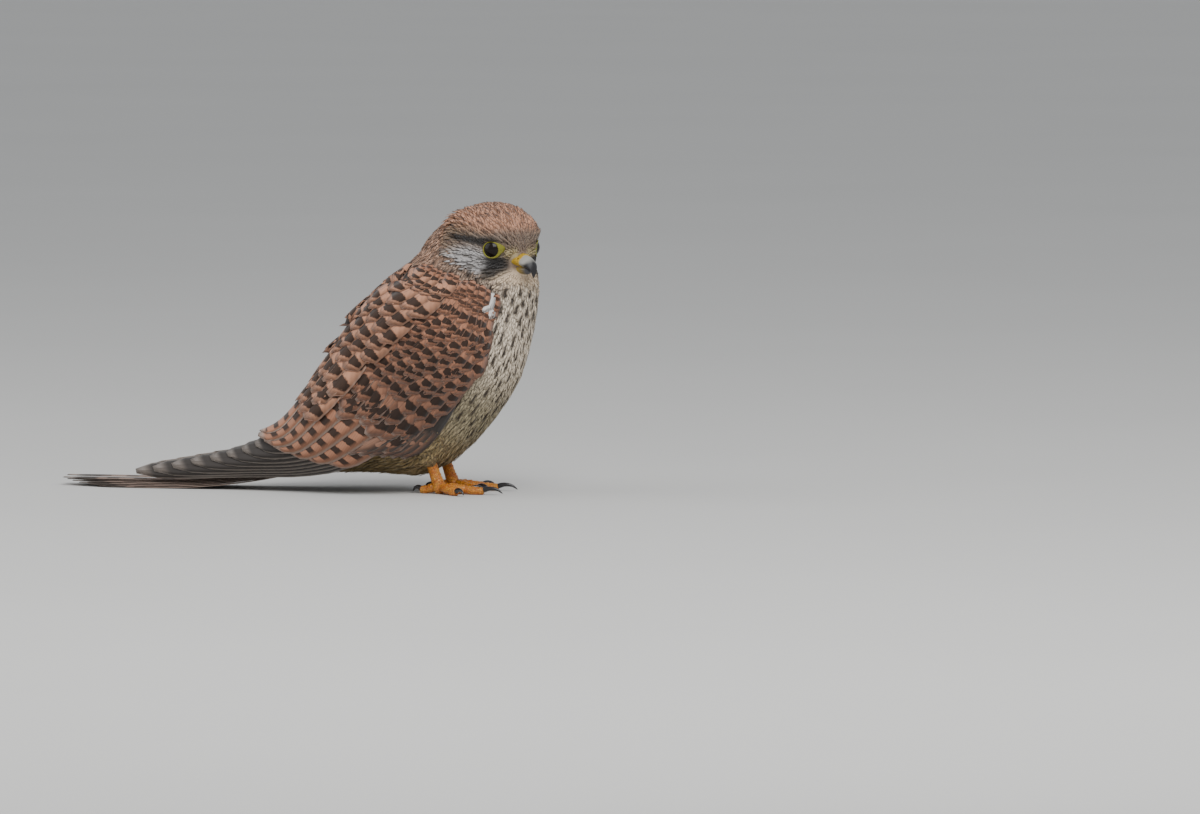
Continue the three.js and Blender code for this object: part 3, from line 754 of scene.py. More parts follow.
root, tip, half, marks = tract(BEND + LESSER + MEDIAN + GREATER)
# Painted shade: the covert ground turns towards the dark flight colour away from the bend and towards the
# wing's lower edge, for the shade that falls there.
painted_shade_share = 0.35 * smooth(root[:, 0] / 0.2) * smooth((0.75 - root[:, 1]) / 0.5)
ground = blend(ground_for(len(root), COVERT_RUFOUS), FLIGHT, painted_shade_share)
white = (root[:, 0] < -0.004) & (np.abs(root[:, 1] - 0.075) < 0.045)
ground[white] = WHITE
marks[white] = 0
dress_wings("wing_coverts", COVER, root, tip, half, marks, ground, BED_TOP, tilt=0.5, rise=0.6)
root, tip, half, marks = tract(FRONT_SCAPULARS + SHORT_SCAPULARS + LONG_SCAPULARS)
ground = ground_for(len(root), RUFOUS)
level = BED_TOP + 1.2
dress_wings("wing_scapulars", COVER, root, tip, half, marks, ground, level, tilt=0.6, rise=1.0, sink=1.6)

# %% The dark primary coverts
count = 6
part = np.linspace(0, 1, count)
root = np.stack([mix(0.22, 0.26, part), mix(0.0, 0.13, part)], -1)
tip = np.stack([mix(0.39, 0.45, part), mix(0.0, 0.2, part)], -1)
flecks = 0.54 * (np.sin(COVER["along"] * 26) > -0.1) * (np.abs(COVER["across"]) < 0.9)
ground = blend(FLIGHT, RUFOUS, np.tile(flecks, (count, 1)))
dress_wings("primary_coverts", COVER, root, tip, 4.6, marks_of(count, 0, 0, 0.25), ground, BED_TOP - 0.4)

# %% Flight feathers
PRIMARY_TIPS = np.array([0.66, 0.7, 0.745, 0.79, 0.84, 0.89, 0.94, 0.985])
SECONDARY_TIPS = np.array([0.5, 0.54, 0.575, 0.605, 0.625, 0.64, 0.635])
FLIGHT_ROOT = 0.36

count = len(PRIMARY_TIPS)
part = np.linspace(0, 1, count)
root = np.stack([np.full(count, FLIGHT_ROOT), mix(0.36, 0.12, part)], -1)
tip = np.stack([PRIMARY_TIPS, mix(0.7, 0.35, part)], -1)
marks = marks_of(count, 0, 0, 0.4)
ground = ground_for(count, FLIGHT, 0.04)
half = mix(8.5, 7, part)
level = 5.6 - 0.7 * np.arange(count)
dress_wings("primaries", LONG, root, tip, half, marks, ground, level, tilt=0.5, rise=0.0, sink=0.5)

count = len(SECONDARY_TIPS)
part = np.linspace(0, 1, count)
root = np.stack([np.full(count, FLIGHT_ROOT - 0.08), mix(0.2, 0.93, part)], -1)
tip = np.stack([SECONDARY_TIPS, mix(0.22, 0.93, part)], -1)
marks = marks_of(count, 0, 1, mix(0.35, 0.8, part))
ground = ground_for(count, 0.9 * COVERT_RUFOUS, 0.04)
half = mix(9, 11, part)
level = 7.2 + 0.12 * np.arange(count)
dress_wings("secondaries", LONG, root, tip, half, marks, ground, level, tilt=1.4, rise=0.6, sink=0.6)

# %% [markdown]
# ## The tail
# Twelve long feathers lie over each other in six pairs, the middle pair on top. They are the LONG
# pattern again, laid on a line that comes down from the rump and runs level along the floor. Above
# them a few loose feathers close the ridge between the folded wings.

# %% Tail feathers
TAIL = {"root": -80, "length": 153, "root_height": 12, "centre": 4, "step": 1.7, "half_width": 5.6}
TAIL_PAIRS = 6
TAIL_LAYER = 0.8
TAIL_VANE_THICK = 0.3


def tail_point(s, y, out):
    x = TAIL["root"] - TAIL["length"] * s
    z = TAIL["root_height"] * np.maximum(0, 1 - s / 0.6) ** 2
    return np.stack([x, y, z + out], -1)


def tail_width(v):
    return (0.6 + 0.4 * smooth(v / 0.4)) * np.sqrt(1 - 0.8 * (np.maximum(0, v - 0.88) / 0.12) ** 2)


def tail_vanes(kind):
    u, v = kind["across"], kind["along"]
    made = []
    for pair in range(TAIL_PAIRS):
        for side in (-1, 1):
            reach = 1 - 0.016 * pair - 0.003 * pair**2
            middle = TAIL["centre"] + TAIL["step"] * pair * (0.7 + 0.5 * v)
            half = (TAIL["half_width"] + (0 if pair else 2)) * tail_width(v)
            level = TAIL_PAIRS - 1 - pair + (1 if pair == 0 and side > 0 else 0)
            arch = 0.35 * (1 - u**2)
            out = level * TAIL_LAYER + 0.5 - kind["under"] * TAIL_VANE_THICK + arch * (1 - kind["under"])
            made.append(tail_point(reach * v, side * middle + u * half, out))
    return np.array(made)


points = to_frame(tail_vanes(LONG))
count = len(points)
ground = ground_for(count, TAIL_GREY, 0.03)
marks = marks_of(count, 0, 0.75, 0.5)
tail = feather_piece("tail_feathers", LONG, points, ground, marks, *sheet_of_cells(count))

# %% The lower back, between the two wings' upper edges
def back_point(s, y, out):
    """A point of the ridge that joins the wings over the lower back; s as on the wings."""
    edge = wing_point(s, np.ones_like(s), out)
    return np.stack([edge[..., 0], y, edge[..., 2] - 0.02 * y**2], -1)


count = 14
part = np.linspace(0, 1, count)[:, None]
middle = np.array([0, -5, 5])[np.arange(count) % 3][:, None]
u, v = COVER["across"][None], COVER["along"][None]
aside = middle + u * vane_width(v) * mix(6, 5, part)
rise = 1.2 * v + 0.3 * (1 - u**2) - COVER["under"][None] * VANE_THICK
points = to_frame(back_point(mix(0.12, 0.53, part) + 0.12 * v, aside, mix(8.5, 4.5, part) + rise))
ground = blend(ground_for(count, RUFOUS), TAIL_GREY, 0.6 * smooth((part[:, 0] - 0.4) / 0.5))
marks = marks_of(count, 0.9, 0, 0.2)
ridge = feather_piece("back_feathers", COVER, points, ground, marks, *sheet_of_cells(count))

# %% [markdown]
# ## The body's small feathers
# The back has broad round vanes with one dark spot each, like the scapulars beside them. Breast and
# belly feathers are loose: each frays into soft barbs that cling together towards its tip. Thin tufts
# that turn a little towards the middle line of their own feather give that look. Rows of roots run
# round the body; a root that a folded wing covers would never be seen, and is dropped.

# %% Feathers laid on the skin
def lay(kind, roots, ways, length, half, lift, sink, thick, tilt=0.0, width=point_width):
    """roots and ways in frame metres; the sizes in millimetres, one for each feather or one for all."""
    spots, outs = on_skin(roots)
    ways = unit(ways - outs * np.sum(ways * outs, -1, keepdims=True))
    sides = np.cross(ways, outs)
    length, half, lift, sink, tilt = as_columns(len(roots), length, half, lift, sink, tilt)
    u, v = kind["across"][None], kind["along"][None]
    flat = spots[:, None] + ways[:, None] * (length * v * MM)[..., None]
    flat = flat + sides[:, None] * (half * u * width(v) * MM)[..., None]
    ground, ups = on_skin(flat)
    ups = unit(ups + outs[:, None])
    out_now = smooth(v / 0.4)
    height = lift * out_now * (0.35 + 0.65 * v) + tilt * out_now * u - (1 - out_now) * sink
    height = height + 0.06 * half * (1 - u**2) * width(v) - kind["under"] * thick
    return ground + ups * (height * MM)[..., None]


def turned(ways, outs, degrees):
    """Directions turned about the outward way, by some degrees each."""
    angle = np.radians(degrees)[:, None]
    return ways * np.cos(angle) + np.cross(outs, ways) * np.sin(angle)


def body_rows(t_from, t_to, spacing):
    """Roots as t and angle, row by row, with the spacing in millimetres."""
    rows = round((t_to - t_from) * body_line.length / spacing)
    roots = []
    for row in range(rows):
        t = mix(t_from, t_to, row / (rows - 1))
        deep, wide = body_size.at(np.float64(t))[:2]
        count = round(2 * math.pi * math.sqrt((deep**2 + wide**2) / 2) / spacing)
        angle = (np.arange(count) + 0.5 * (row % 2)) / count * 360 - 180
        roots.append(np.stack([np.full(count, t), angle], -1))
    roots = np.vstack(roots)
    roots += rng.normal(0, 1, roots.shape) * [0.2 * spacing / body_line.length, 0.2 * spacing]
    return roots[:, 0], (roots[:, 1] + 180) % 360 - 180


def from_head_of(points):
    """Points of the frame in the head's own axes, in millimetres."""
    return from_head(points / MM - SHIFT)


PATCH = 0.003


def patches(across, along):
    """Where small feathers have their patches on a coat's sheet."""
    return np.stack([across, along], -1) * 0.98 + 0.01


# %% The mantle and rump: round vanes with a spot
t, angle = body_rows(0.04, 0.73, 9.4)
roots, outs = on_skin(to_frame(body_point(t, angle)))
kept = ~under_wing(roots, outs) & (np.abs(angle) > mix(98, 140, smooth((t - 0.54) / 0.1)))
t, angle, roots, outs = t[kept], angle[kept], roots[kept], outs[kept]
ways = turned(-body_line.heading(t), outs, rng.normal(0, 4, len(t)))
size = mix(23, 18, smooth((t - 0.45) / 0.2)) * rng.uniform(0.94, 1.06, len(t))
lift = mix(2.4, 7.5, smooth((0.6 - t) / 0.2) * smooth((np.abs(angle) - 120) / 40))
tilt = 0.35 * np.sign(angle)
points = lay(COVER, roots, ways, size, size * 0.29, lift, 0.6, VANE_THICK, tilt, vane_width)
marks = marks_of(len(t), mix(0.3, 1, smooth((t - 0.15) / 0.15)), 0, 0.12)
ground = blend(ground_for(len(t), RUFOUS), TAIL_GREY, 0.5 * smooth((0.2 - t) / 0.1))
atlas = patches(angle / 360 + 0.5, t)
mantle = feather_piece("mantle_feathers", COVER, points, ground, marks, atlas, PATCH)

# %% Breast, belly and neck: soft tufts
HEAD_REACH = 29.5
TUFT_SPACING = 1.6
t, angle = body_rows(0.03, 0.88, TUFT_SPACING)
roots, outs = on_skin(to_frame(body_point(t, angle)))
near_head = length_of(from_head_of(roots)) < HEAD_REACH
on_front = np.abs(angle) < mix(98, 146, smooth((t - 0.54) / 0.1))
kept = ~under_wing(roots, outs) & ~near_head & (on_front | (t > 0.69))
t, angle, roots, outs = t[kept], angle[kept], roots[kept], outs[kept]
aside = body_cells(t, angle)[1]
ways = turned(-body_line.heading(t), outs, rng.normal(0, 4, len(t)) + 18 * aside)
low = smooth((0.42 - t) / 0.16)
size = mix(4.8, 10, low) * rng.uniform(0.85, 1.2, len(t))
lift = mix(0.6, 2.0, low) * rng.uniform(0.5, 1.4, len(t))
half = mix(0.85, 1.15, low)
points = lay(TUFT, roots, ways, size, half, lift, 0.4, 0.08)
radius = length_of(body_size.at(t)[:, :2]) / math.sqrt(2)
corner_t = t[:, None] - size[:, None] * TUFT["along"] / body_line.length
corner_angle = angle[:, None] + np.degrees(half[:, None] * TUFT["across"] / radius[:, None])
face = from_head_of(points)
on_neck = smooth((length_of(face) - HEAD_REACH) / 5)
ground = toned(blend(head_colour(face), body_colour(corner_t, corner_angle), on_neck), 0.05)
marks = marks_of(len(t), 0, 0, 0)
atlas = patches(angle / 360 + 0.5, t)
coats = []
for name, chosen in (("breast_coat", t >= 0.5), ("belly_coat", t < 0.5)):
    parts = (values[chosen] for values in (points, ground, marks, atlas))
    coats.append(feather_piece(name, TUFT, *parts, PATCH))

# %% The feathered thighs
THIGH_HALF = {"top": 15, "end": 5.6}
THIGH_ROWS, THIGH_COLUMNS = 20, 34
thigh_line = Line([[-16, -20, 42], [-10, -18, 28], [-5.5, -15.5, 14.5]])
columns = np.arange(THIGH_COLUMNS) / THIGH_COLUMNS * 2 * math.pi
t, turn = (a.ravel() for a in np.meshgrid(np.linspace(0.1, 1.0, THIGH_ROWS), columns))
t = t + rng.normal(0, 0.015, len(t))
turn = turn + rng.normal(0, 0.08, len(t))
way = thigh_line.heading(t)
side = unit(np.cross([0, 1.0, 0], way))
ring = side * np.cos(turn)[:, None] + np.cross(way, side) * np.sin(turn)[:, None]
half = mix(THIGH_HALF["top"], THIGH_HALF["end"], np.clip(t, 0, 1) ** 0.8)
right_spots = thigh_line.at(t) + ring * half[:, None]
spots, ways = (np.vstack([right, right * [1, -1, 1]]) for right in (right_spots, way))
roots, outs = on_skin(to_frame(spots))
count = len(roots)
size = rng.uniform(5, 8, count)
ways = turned(ways, outs, rng.normal(0, 8, count))
points = lay(TUFT, roots, ways, size, 0.9, rng.uniform(0.5, 1.6, count), 0.4, 0.08)
# The thighs take the lower-belly and belly colours, with the painted shade they carry.
ground = toned(np.tile(blend(SHADED_OLIVE_BUFF, SHADED_BELLY, 0.25), (count, len(TUFT["along"]), 1)), 0.09)
atlas = patches(np.tile(turn / 7 % 1, 2) * 0.5 + np.repeat([0, 0.5], len(t)), 0.9 * np.tile(t, 2))
coats.append(feather_piece("thigh_coat", TUFT, points, ground, marks_of(count, 0, 0, 0), atlas, PATCH))

# %% [markdown]
# ## The head's feathers
# On the head they are no longer than a grain of rice, tiny by the bill, and run back from it over the
# crown and cheeks. Rays from the middle of the head find the roots: ring after ring round the line to
# the bill, out to where the head ends and the neck begins.

# %% Roots round the head
HEAD_SPACING = 1.12
HEAD_RADIUS = 24.0


def head_rays(spacing):
    rays = []
    for row, polar in enumerate(np.arange(8, 176, math.degrees(spacing / HEAD_RADIUS))):
        count = max(6, round(2 * math.pi * HEAD_RADIUS * math.sin(math.radians(polar)) / spacing))
        turn = (np.arange(count) + 0.5 * (row % 2)) / count * 360
        rays.append(np.stack([np.full(count, polar), turn], -1))
    rays = np.vstack(rays)
    return np.radians(rays + rng.normal(0, 0.7, rays.shape))


polar, turn = head_rays(HEAD_SPACING).T
rise = unit(np.cross(CROWN_POLE, [0, 1, 0]))
ring = np.sin(turn)[:, None] * np.array([0, 1, 0]) + np.cos(turn)[:, None] * rise
rays = (CROWN_POLE * np.cos(polar)[:, None] + ring * np.sin(polar)[:, None]) @ head_axes.T
middle = Vector(to_frame(np.array(HEAD_CENTRE)))
hits = [skin_tree.ray_cast(middle, Vector(ray), (HEAD_REACH + 4) * MM)[:2] for ray in rays]
found = np.array([hit[0] is not None for hit in hits])
roots = np.array([hit[0] for hit in hits if hit[0] is not None])
outs = np.array([hit[1] for hit in hits if hit[0] is not None])
polar, turn = polar[found], turn[found]
face = from_head_of(roots)


# %% Leave the eyes and the bill free
def eye_reach(face):
    """Under 1 inside the bare ring round an eye, which is longer in front."""
    ahead = face[:, 0] - EYE["forward"] - 3.2
    up = face[:, 2] - EYE["up"]
    length = np.where(ahead > 0, 7.6, 4.6)
    return np.hypot(ahead / length, up / 4.5) + (np.abs(face[:, 1]) < 8)


beside_bill = np.hypot(face[:, 1] / 6.6, (face[:, 2] + 10.2) / 6.6) + (face[:, 0] < 8)
kept = (eye_reach(face) > 1) & (beside_bill > 1)
face, roots, outs, polar, turn = face[kept], roots[kept], outs[kept], polar[kept], turn[kept]
away = length_of(face - BILL_ROOT)
flow = unit(face - BILL_ROOT) @ head_axes.T
down_body = -body_line.heading(np.full(len(face), 0.8))
to_neck = smooth((away - 38) / 16)[:, None]
ways = unit(flow * (1 - to_neck) + down_body * to_neck)
ways = turned(ways, outs, rng.normal(0, 6, len(face)) + 18 * head_cells(face)[1])
size = mix(1.7, 5.0, smooth((away - 4) / 44)) * rng.uniform(0.85, 1.2, len(face))
x, y, z = face.T
crown = smooth((z - 8) / 10)
brow = brow_at(face)
size = size * (1 + 0.5 * crown + 0.5 * brow + 0.8 * bell((x - 17.5) / 3.5))
lift = mix(0.35, 1.2, smooth(away / 40)) * rng.uniform(0.7, 1.3, len(face))
beside_face = bell((x - 18) / 3, (z + 2.5) / 4) * smooth((np.abs(y) - 3) / 3)
ruffled = bell((x + 11) / 9, (z - 14) / 8)
stands = 1.2 * crown + 2.3 * ruffled + 1.6 * brow + 3.2 * beside_face
lift = lift + rng.uniform(0.1, 1, len(face)) * stands
points = lay(TUFT, roots, ways, size, 0.34 + 0.09 * size, lift, 0.25, 0.07)
ground = toned(head_colour(from_head_of(points)), 0.07)
atlas = patches(turn / (2 * math.pi) % 1, polar / polar.max())
coats.append(feather_piece("head_coat", TUFT, points, ground, marks_of(len(face), 0, 0, 0), atlas, PATCH))

# %% [markdown]
# ## What a feather's surface is
# Barbs run off the shaft at a slant and are too fine to model, so they are a slanted wave in the
# feather's own coordinates that tints and bumps it. The marks use the same coordinates, so that each
# spot sits astride its shaft and each bar crosses it, whichever way the feather lies.

# %% The feather finish
SPOT = {"period": 0.45, "base": 0.26, "tip": 0.88, "point": 0.28, "soft": 0.09, "side": 0.93}


def feather_finish(name, roughness, barbs, bar_count=8, band=False, shaft_dark=0.25, wear=0.2):
    finish = Finish(name, roughness, Specular_IOR_Level=0.25, Sheen_Weight=0.1)
    ground = finish.node("ShaderNodeAttribute", {"attribute_name": "Ground"})
    mark = finish.node("ShaderNodeAttribute", {"attribute_name": "Mark"})
    pale_edge = Wire(finish, mark.socket.node.outputs[3])
    parts = finish.node("ShaderNodeSeparateColor", {}, mark).socket.node
    spot_dark, bars_dark, draw = (Wire(finish, out) for out in parts.outputs)
    vane_map = finish.node("ShaderNodeUVMap", {"uv_map": "Vane"})
    vane = finish.node("ShaderNodeSeparateXYZ", {}, vane_map).socket.node
    u, v = Wire(finish, vane.outputs[0]), Wire(finish, vane.outputs[1])
    across = (u * 2 - 1).size()
    ragged = (finish.noise(700.0, 2.0) - 0.5) * 0.08

    slant = v * barbs - across * (barbs * 0.35) + draw * 9
    barb = slant.sum("SINE", slant)
    shaft = 1 - across.over(0.02, 0.07)

    repeat = v / SPOT["period"]
    place = repeat.sum("FRACT", repeat)
    base = ragged * 2 + SPOT["base"] + across * 0.1
    point = ragged * 2 + SPOT["tip"] - across * SPOT["point"] - draw * 0.08
    spot = place.over(base, base + SPOT["soft"]) * (1 - place.over(point, point + SPOT["soft"]))
    spot = spot * (1 - v.over(0.88, 0.9)) * (1 - across.over(SPOT["side"] - 0.14, SPOT["side"]))
    wave = v * bar_count + across * 0.3 + u * 0.3 + draw + ragged * 2
    step = wave.sum("FRACT", wave)
    bars = 1 - (step - 0.5).size().over(0.19, 0.26)
    bars = bars * (1 - across.over(0.6, 0.85)) * (1 - v.over(0.93, 0.96))
    marks = (spot * spot_dark + bars * bars_dark).bounded()
    if band:
        marks = (marks + v.over(0.85, 0.87) * (1 - v.over(0.955, 0.97))).bounded()
    edge = ((across.over(0.82, 0.98) + v.over(0.93, 0.99)).bounded() * pale_edge).bounded()

    worn = finish.mixed(barb * 0.05 + finish.noise(260.0, 3.0) * wear, ground, DARK)
    marked = finish.mixed(marks * 0.93, worn, DARK)
    edged = finish.mixed(edge, marked, PALE_EDGE)
    finish.feed("Base Color", finish.mixed(shaft * shaft_dark, edged, DARK))
    finish.bump(barb * 0.3 + shaft * 1.2, 0.3, 0.0001)
    return finish.material


def set_finish(piece, material):
    piece.data.materials.clear()
    piece.data.materials.append(material)


finishes = {
    "wing_coverts": feather_finish("covert feathers", 0.8, 40.0),
    "wing_scapulars": feather_finish("shoulder feathers", 0.8, 40.0),
    "secondaries": feather_finish("secondary feathers", 0.66, 150.0),
    "primaries": feather_finish("primary feathers", 0.6, 160.0),
}
tail_finish = feather_finish("tail feathers", 0.64, 200.0, bar_count=9, band=True)
tuft_finish = feather_finish("soft tufts", 0.88, 12.0, shaft_dark=0.0, wear=0.08)
for (name, side), piece in wing_pieces.items():
    dark = name.startswith("prim")
    finish = finishes.get(name, finishes["primaries"] if dark else finishes["wing_scapulars"])
    set_finish(piece, finish)
set_finish(tail, tail_finish)
for piece in (mantle, ridge):
    set_finish(piece, finishes["wing_scapulars"])
for piece in coats:
    set_finish(piece, tuft_finish)

# %% The skin's own colours, worked out as the feathers' are
SKIN_SAMPLES = 160
skin_spots = corners_of(skin.data.vertices)
own = skin_spots / MM - SHIFT
samples = body_line.at(np.linspace(0, 1, SKIN_SAMPLES))
gaps = [((some[:, None, ::2] - samples[None, :, ::2]) ** 2).sum(-1) for some in np.array_split(own, 12)]
nearest = np.concatenate([np.argmin(gap, 1) for gap in gaps])
skin_t = nearest / (SKIN_SAMPLES - 1)
way = body_line.heading(skin_t)
offset = own - samples[nearest]
skin_angle = np.degrees(np.arctan2(-offset[:, 1], offset[:, 0] * way[:, 2] - offset[:, 2] * way[:, 0]))
skin_colour = body_colour(skin_t, skin_angle)
skin_normals = np.array([v.normal for v in skin.data.vertices])
covered = under_wing(skin_spots, skin_normals).astype(float)
skin_colour = blend(skin_colour, blend(COVERT_RUFOUS, FLIGHT, 0.45), covered)
face = from_head(own)
skin_colour = blend(skin_colour, head_colour(face), smooth((HEAD_REACH + 3 - length_of(face)) / 3))
skin.data.attributes.new("Ground", "FLOAT_COLOR", "POINT").data.foreach_set("color", skin_colour.ravel())
down = Finish("down", 0.9)
down_ground = down.node("ShaderNodeAttribute", {"attribute_name": "Ground"})
down.feed("Base Color", down.mixed(down.noise(700.0) * 0.4, down_ground, DARK))
down.bump(down.noise(1500.0), 0.6, 0.0004)
skin.data.materials.append(down.material)
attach(skin, "root")
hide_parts(*FLESH)

# %% What stands for what
for (name, side), piece in wing_pieces.items():
    node = {"wing_coverts": "coverts", "wing_scapulars": "scapulars"}.get(name, name)
    if node in ("coverts", "scapulars", "primaries", "secondaries"):
        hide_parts(f"wing_{side}_{node}")
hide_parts("tail")

# %% [markdown]
# ## The bill
# A falcon's bill is a short horn that hooks over the lower half, with a swollen yellow skin, the
# cere, over its root. It is rings along a line that bends down, so a ball is remapped ring by ring,
# and the nostril is a hole drilled into the cere.

# %% Balls remapped to rings
def ringed(name, around, along, place):
    """A round-ended body: place(t, angle) gives points at t along it and at an angle round it."""
    ball = bmesh.new()
    bmesh.ops.create_uvsphere(ball, u_segments=around, v_segments=along, radius=1)
    corners = corners_of(ball.verts)
    t = np.arccos(np.clip(-corners[:, 2], -1, 1)) / math.pi
    angle = np.arctan2(corners[:, 1], corners[:, 0])
    for vert, spot in zip(ball.verts, to_frame(place(t, angle))):
        vert.co = spot
    bmesh.ops.recalc_face_normals(ball, faces=ball.faces)
    return piece_of(name, ball)


def piece_of(name, net):
    piece = in_scene(name, mesh_of(name, net))
    piece.data.shade_smooth()
    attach(piece, "root")
    return piece


def trimmed(piece, forward, keep_front):
    """Cuts a piece of the head across at a distance ahead of the head's centre."""
    net = bmesh.new()
    net.from_mesh(piece.data)
    facing = Vector(head_axes @ [1, 0, 0])
    everything = [*net.verts, *net.edges, *net.faces]
    spot = Vector(to_frame(in_head([forward, 0, 0])))
    cut = bmesh.ops.bisect_plane(net, geom=everything, plane_co=spot, plane_no=facing,
                                 clear_inner=keep_front, clear_outer=not keep_front)
    bmesh.ops.holes_fill(net, edges=[e for e in cut["geom_cut"] if isinstance(e, bmesh.types.BMEdge)])
    net.to_mesh(piece.data)
    net.free()
    return piece


BILL = {"base": 13.7, "length": 18.8, "drop": 8.5, "half_width": 5.5, "half_height": 4.9, "rise": -8.8}
CERE_END = 24.2
NOSTRIL = {"radius": 0.95, "forward": 22.3, "side": 4.6, "up": -6.9}


def upper_bill(out):
    def place(t, angle):
        along = np.minimum(1, t * 1.02)
        size = np.where(t < 0.02, 0, np.maximum(0, 1 - along**2.1) ** 0.62)
        narrow = 1 - 0.3 * smooth((along - 0.45) / 0.4)
        x = BILL["base"] + (BILL["length"] + 0.4 * out) * np.sin(along * 1.75) * 0.985
        wide, high = (BILL["half_width"] + out) * size * narrow, (BILL["half_height"] + out) * size
        low = np.where(np.cos(angle) < 0, 0.62, 1)
        ridge = 1 - 0.12 * np.sin(2 * angle) ** 2
        z = BILL["rise"] - BILL["drop"] * along**3.2 + np.cos(angle) * high * low * ridge
        return in_head(np.stack([x, np.sin(angle) * wide * ridge, z], -1))
    return place


def lower_bill(t, angle):
    size = np.sqrt(np.maximum(0, 1 - (2 * t - 1) ** 4))
    x = BILL["base"] + (BILL["length"] - 3.6) * t
    wide, high = (BILL["half_width"] - 0.9) * size * mix(1, 0.6, t), 2.7 * size
    z = BILL["rise"] - 4.1 - 0.4 * t + np.cos(angle) * high
    return in_head(np.stack([x, np.sin(angle) * wide, z], -1))


def drill(piece, side):
    """Cuts a nostril into the cere."""
    net = bmesh.new()
    wide = NOSTRIL["radius"]
    bmesh.ops.create_cone(net, cap_ends=True, segments=16, radius1=wide * 0.6, radius2=wide, depth=5)
    bmesh.ops.rotate(net, verts=net.verts, matrix=Matrix.Rotation(-side * math.pi / 2, 3, "X"))
    spot = np.array([NOSTRIL["forward"], side * (NOSTRIL["side"] + 1.3), NOSTRIL["up"]])
    for vert in net.verts:
        vert.co = to_frame(in_head(np.array(vert.co) + spot))
    bmesh.ops.recalc_face_normals(net, faces=net.faces)
    mesh = mesh_of("drill", net)
    tool = in_scene("drill", mesh)
    settle(piece, [("BOOLEAN", {"object": tool, "operation": "DIFFERENCE", "solver": "EXACT"})])
    bpy.data.objects.remove(tool)
    bpy.data.meshes.remove(mesh)


bill_top = trimmed(ringed("upper_bill", 36, 40, upper_bill(0)), CERE_END - 0.4, True)
cere = trimmed(trimmed(ringed("cere_skin", 36, 40, upper_bill(0.45)), BILL["base"], True), CERE_END, False)
drill(cere, -1)
drill(cere, 1)
bill_low = ringed("lower_bill", 32, 20, lower_bill)
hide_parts("bill_upper")
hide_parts("cere")
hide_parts("bill_lower")

# %% Horn that darkens to the tip, and the cere
def along_head(finish, start, end):
    """0 at one distance ahead of the head's centre and 1 at another, for a material."""
    ahead = head_axes @ [1, 0, 0]
    middle = to_frame(in_head([start, 0, 0]))
    product = {"operation": "DOT_PRODUCT"}
    way = finish.node("ShaderNodeVectorMath", product, finish.place(), ahead, output=1)
    return ((way - float(np.dot(middle, ahead))) / ((end - start) * MM)).bounded()


def up_head(finish, low, high):
    """0 at one height of the bill and 1 at another, for a material."""
    height = finish.node("ShaderNodeSeparateXYZ", {}, finish.place(), output=2)
    return height.over((HEAD_CENTRE.z + low) * MM, (HEAD_CENTRE.z + high) * MM)


horn = Finish("bill horn", 0.5)
tip = along_head(horn, CERE_END, BILL["base"] + BILL["length"] - 1)
cloud = horn.noise(400.0, 3.0)
darker = (tip + (1 - up_head(horn, -13.5, -8.5)) * 0.7 + (cloud - 0.5) * 0.25).over(0.5, 1.15)
horn.feed("Base Color", horn.mixed(darker, shade("#9a978f"), shade("#1d1c1e")))
horn.bump(cloud, 0.15)
set_finish(bill_top, horn.material)
low_horn = Finish("lower bill horn", 0.35)
low_tip = along_head(low_horn, 19, 27)
low_horn.feed("Base Color", low_horn.mixed(low_tip, shade("#b0932f"), shade("#4a484a")))
low_horn.bump(low_horn.noise(600.0, 3.0), 0.15)
set_finish(bill_low, low_horn.material)
wax = Finish("cere skin", 0.42, Subsurface_Weight=0.1)
wax.feed("Base Color", wax.mixed(wax.noise(900.0), shade("#cfa529"), shade("#93701c")))
wax.bump(wax.noise(1800.0, 3.0), 0.4)
set_finish(cere, wax.material)

# %% [markdown]
# ## The eyes
# A kestrel's eye looks black; close up the iris is a very dark brown round the pupil. Bare yellow skin
# rings it, flush with the feathers: narrow above, below and behind, and drawn out to a patch in front.
# The ball is a true ball under a clear gloss. The ring is a flattened tube: its inner side hugs the
# ball and its outer side is laid on the skin.

# %% Eyes and their rings
EYE_RING = {"inner": 4.35, "front": 9.6, "behind": 5.2, "above": 4.65, "below": 5.1}
EYE_RING_THICK = 0.22
EYE_RING_OVER_SKIN = 0.9


def eye_centre(side):
    return np.array([EYE["forward"], side * (EYE["side"] - EYE_SET_IN[side]), EYE["up"]])


def eye_axes(side):
    """The way the eye looks, the level way towards the bill, and up, in the head's axes."""
    turn = math.radians(EYE["turn"])
    look = unit(np.array([math.cos(turn), side * math.sin(turn), -0.05]))
    ahead = unit(np.cross([0, 0, 1.0], look)) * -side
    return look, ahead, np.cross(look, ahead) * -side


def ball_point(t, angle):
    polar = t * math.pi
    return np.stack([np.sin(polar) * np.cos(angle), np.sin(polar) * np.sin(angle), np.cos(polar)], -1)


def eye_place(side):
    return lambda t, angle: in_head(eye_centre(side) + ball_point(t, angle) * EYE["radius"])


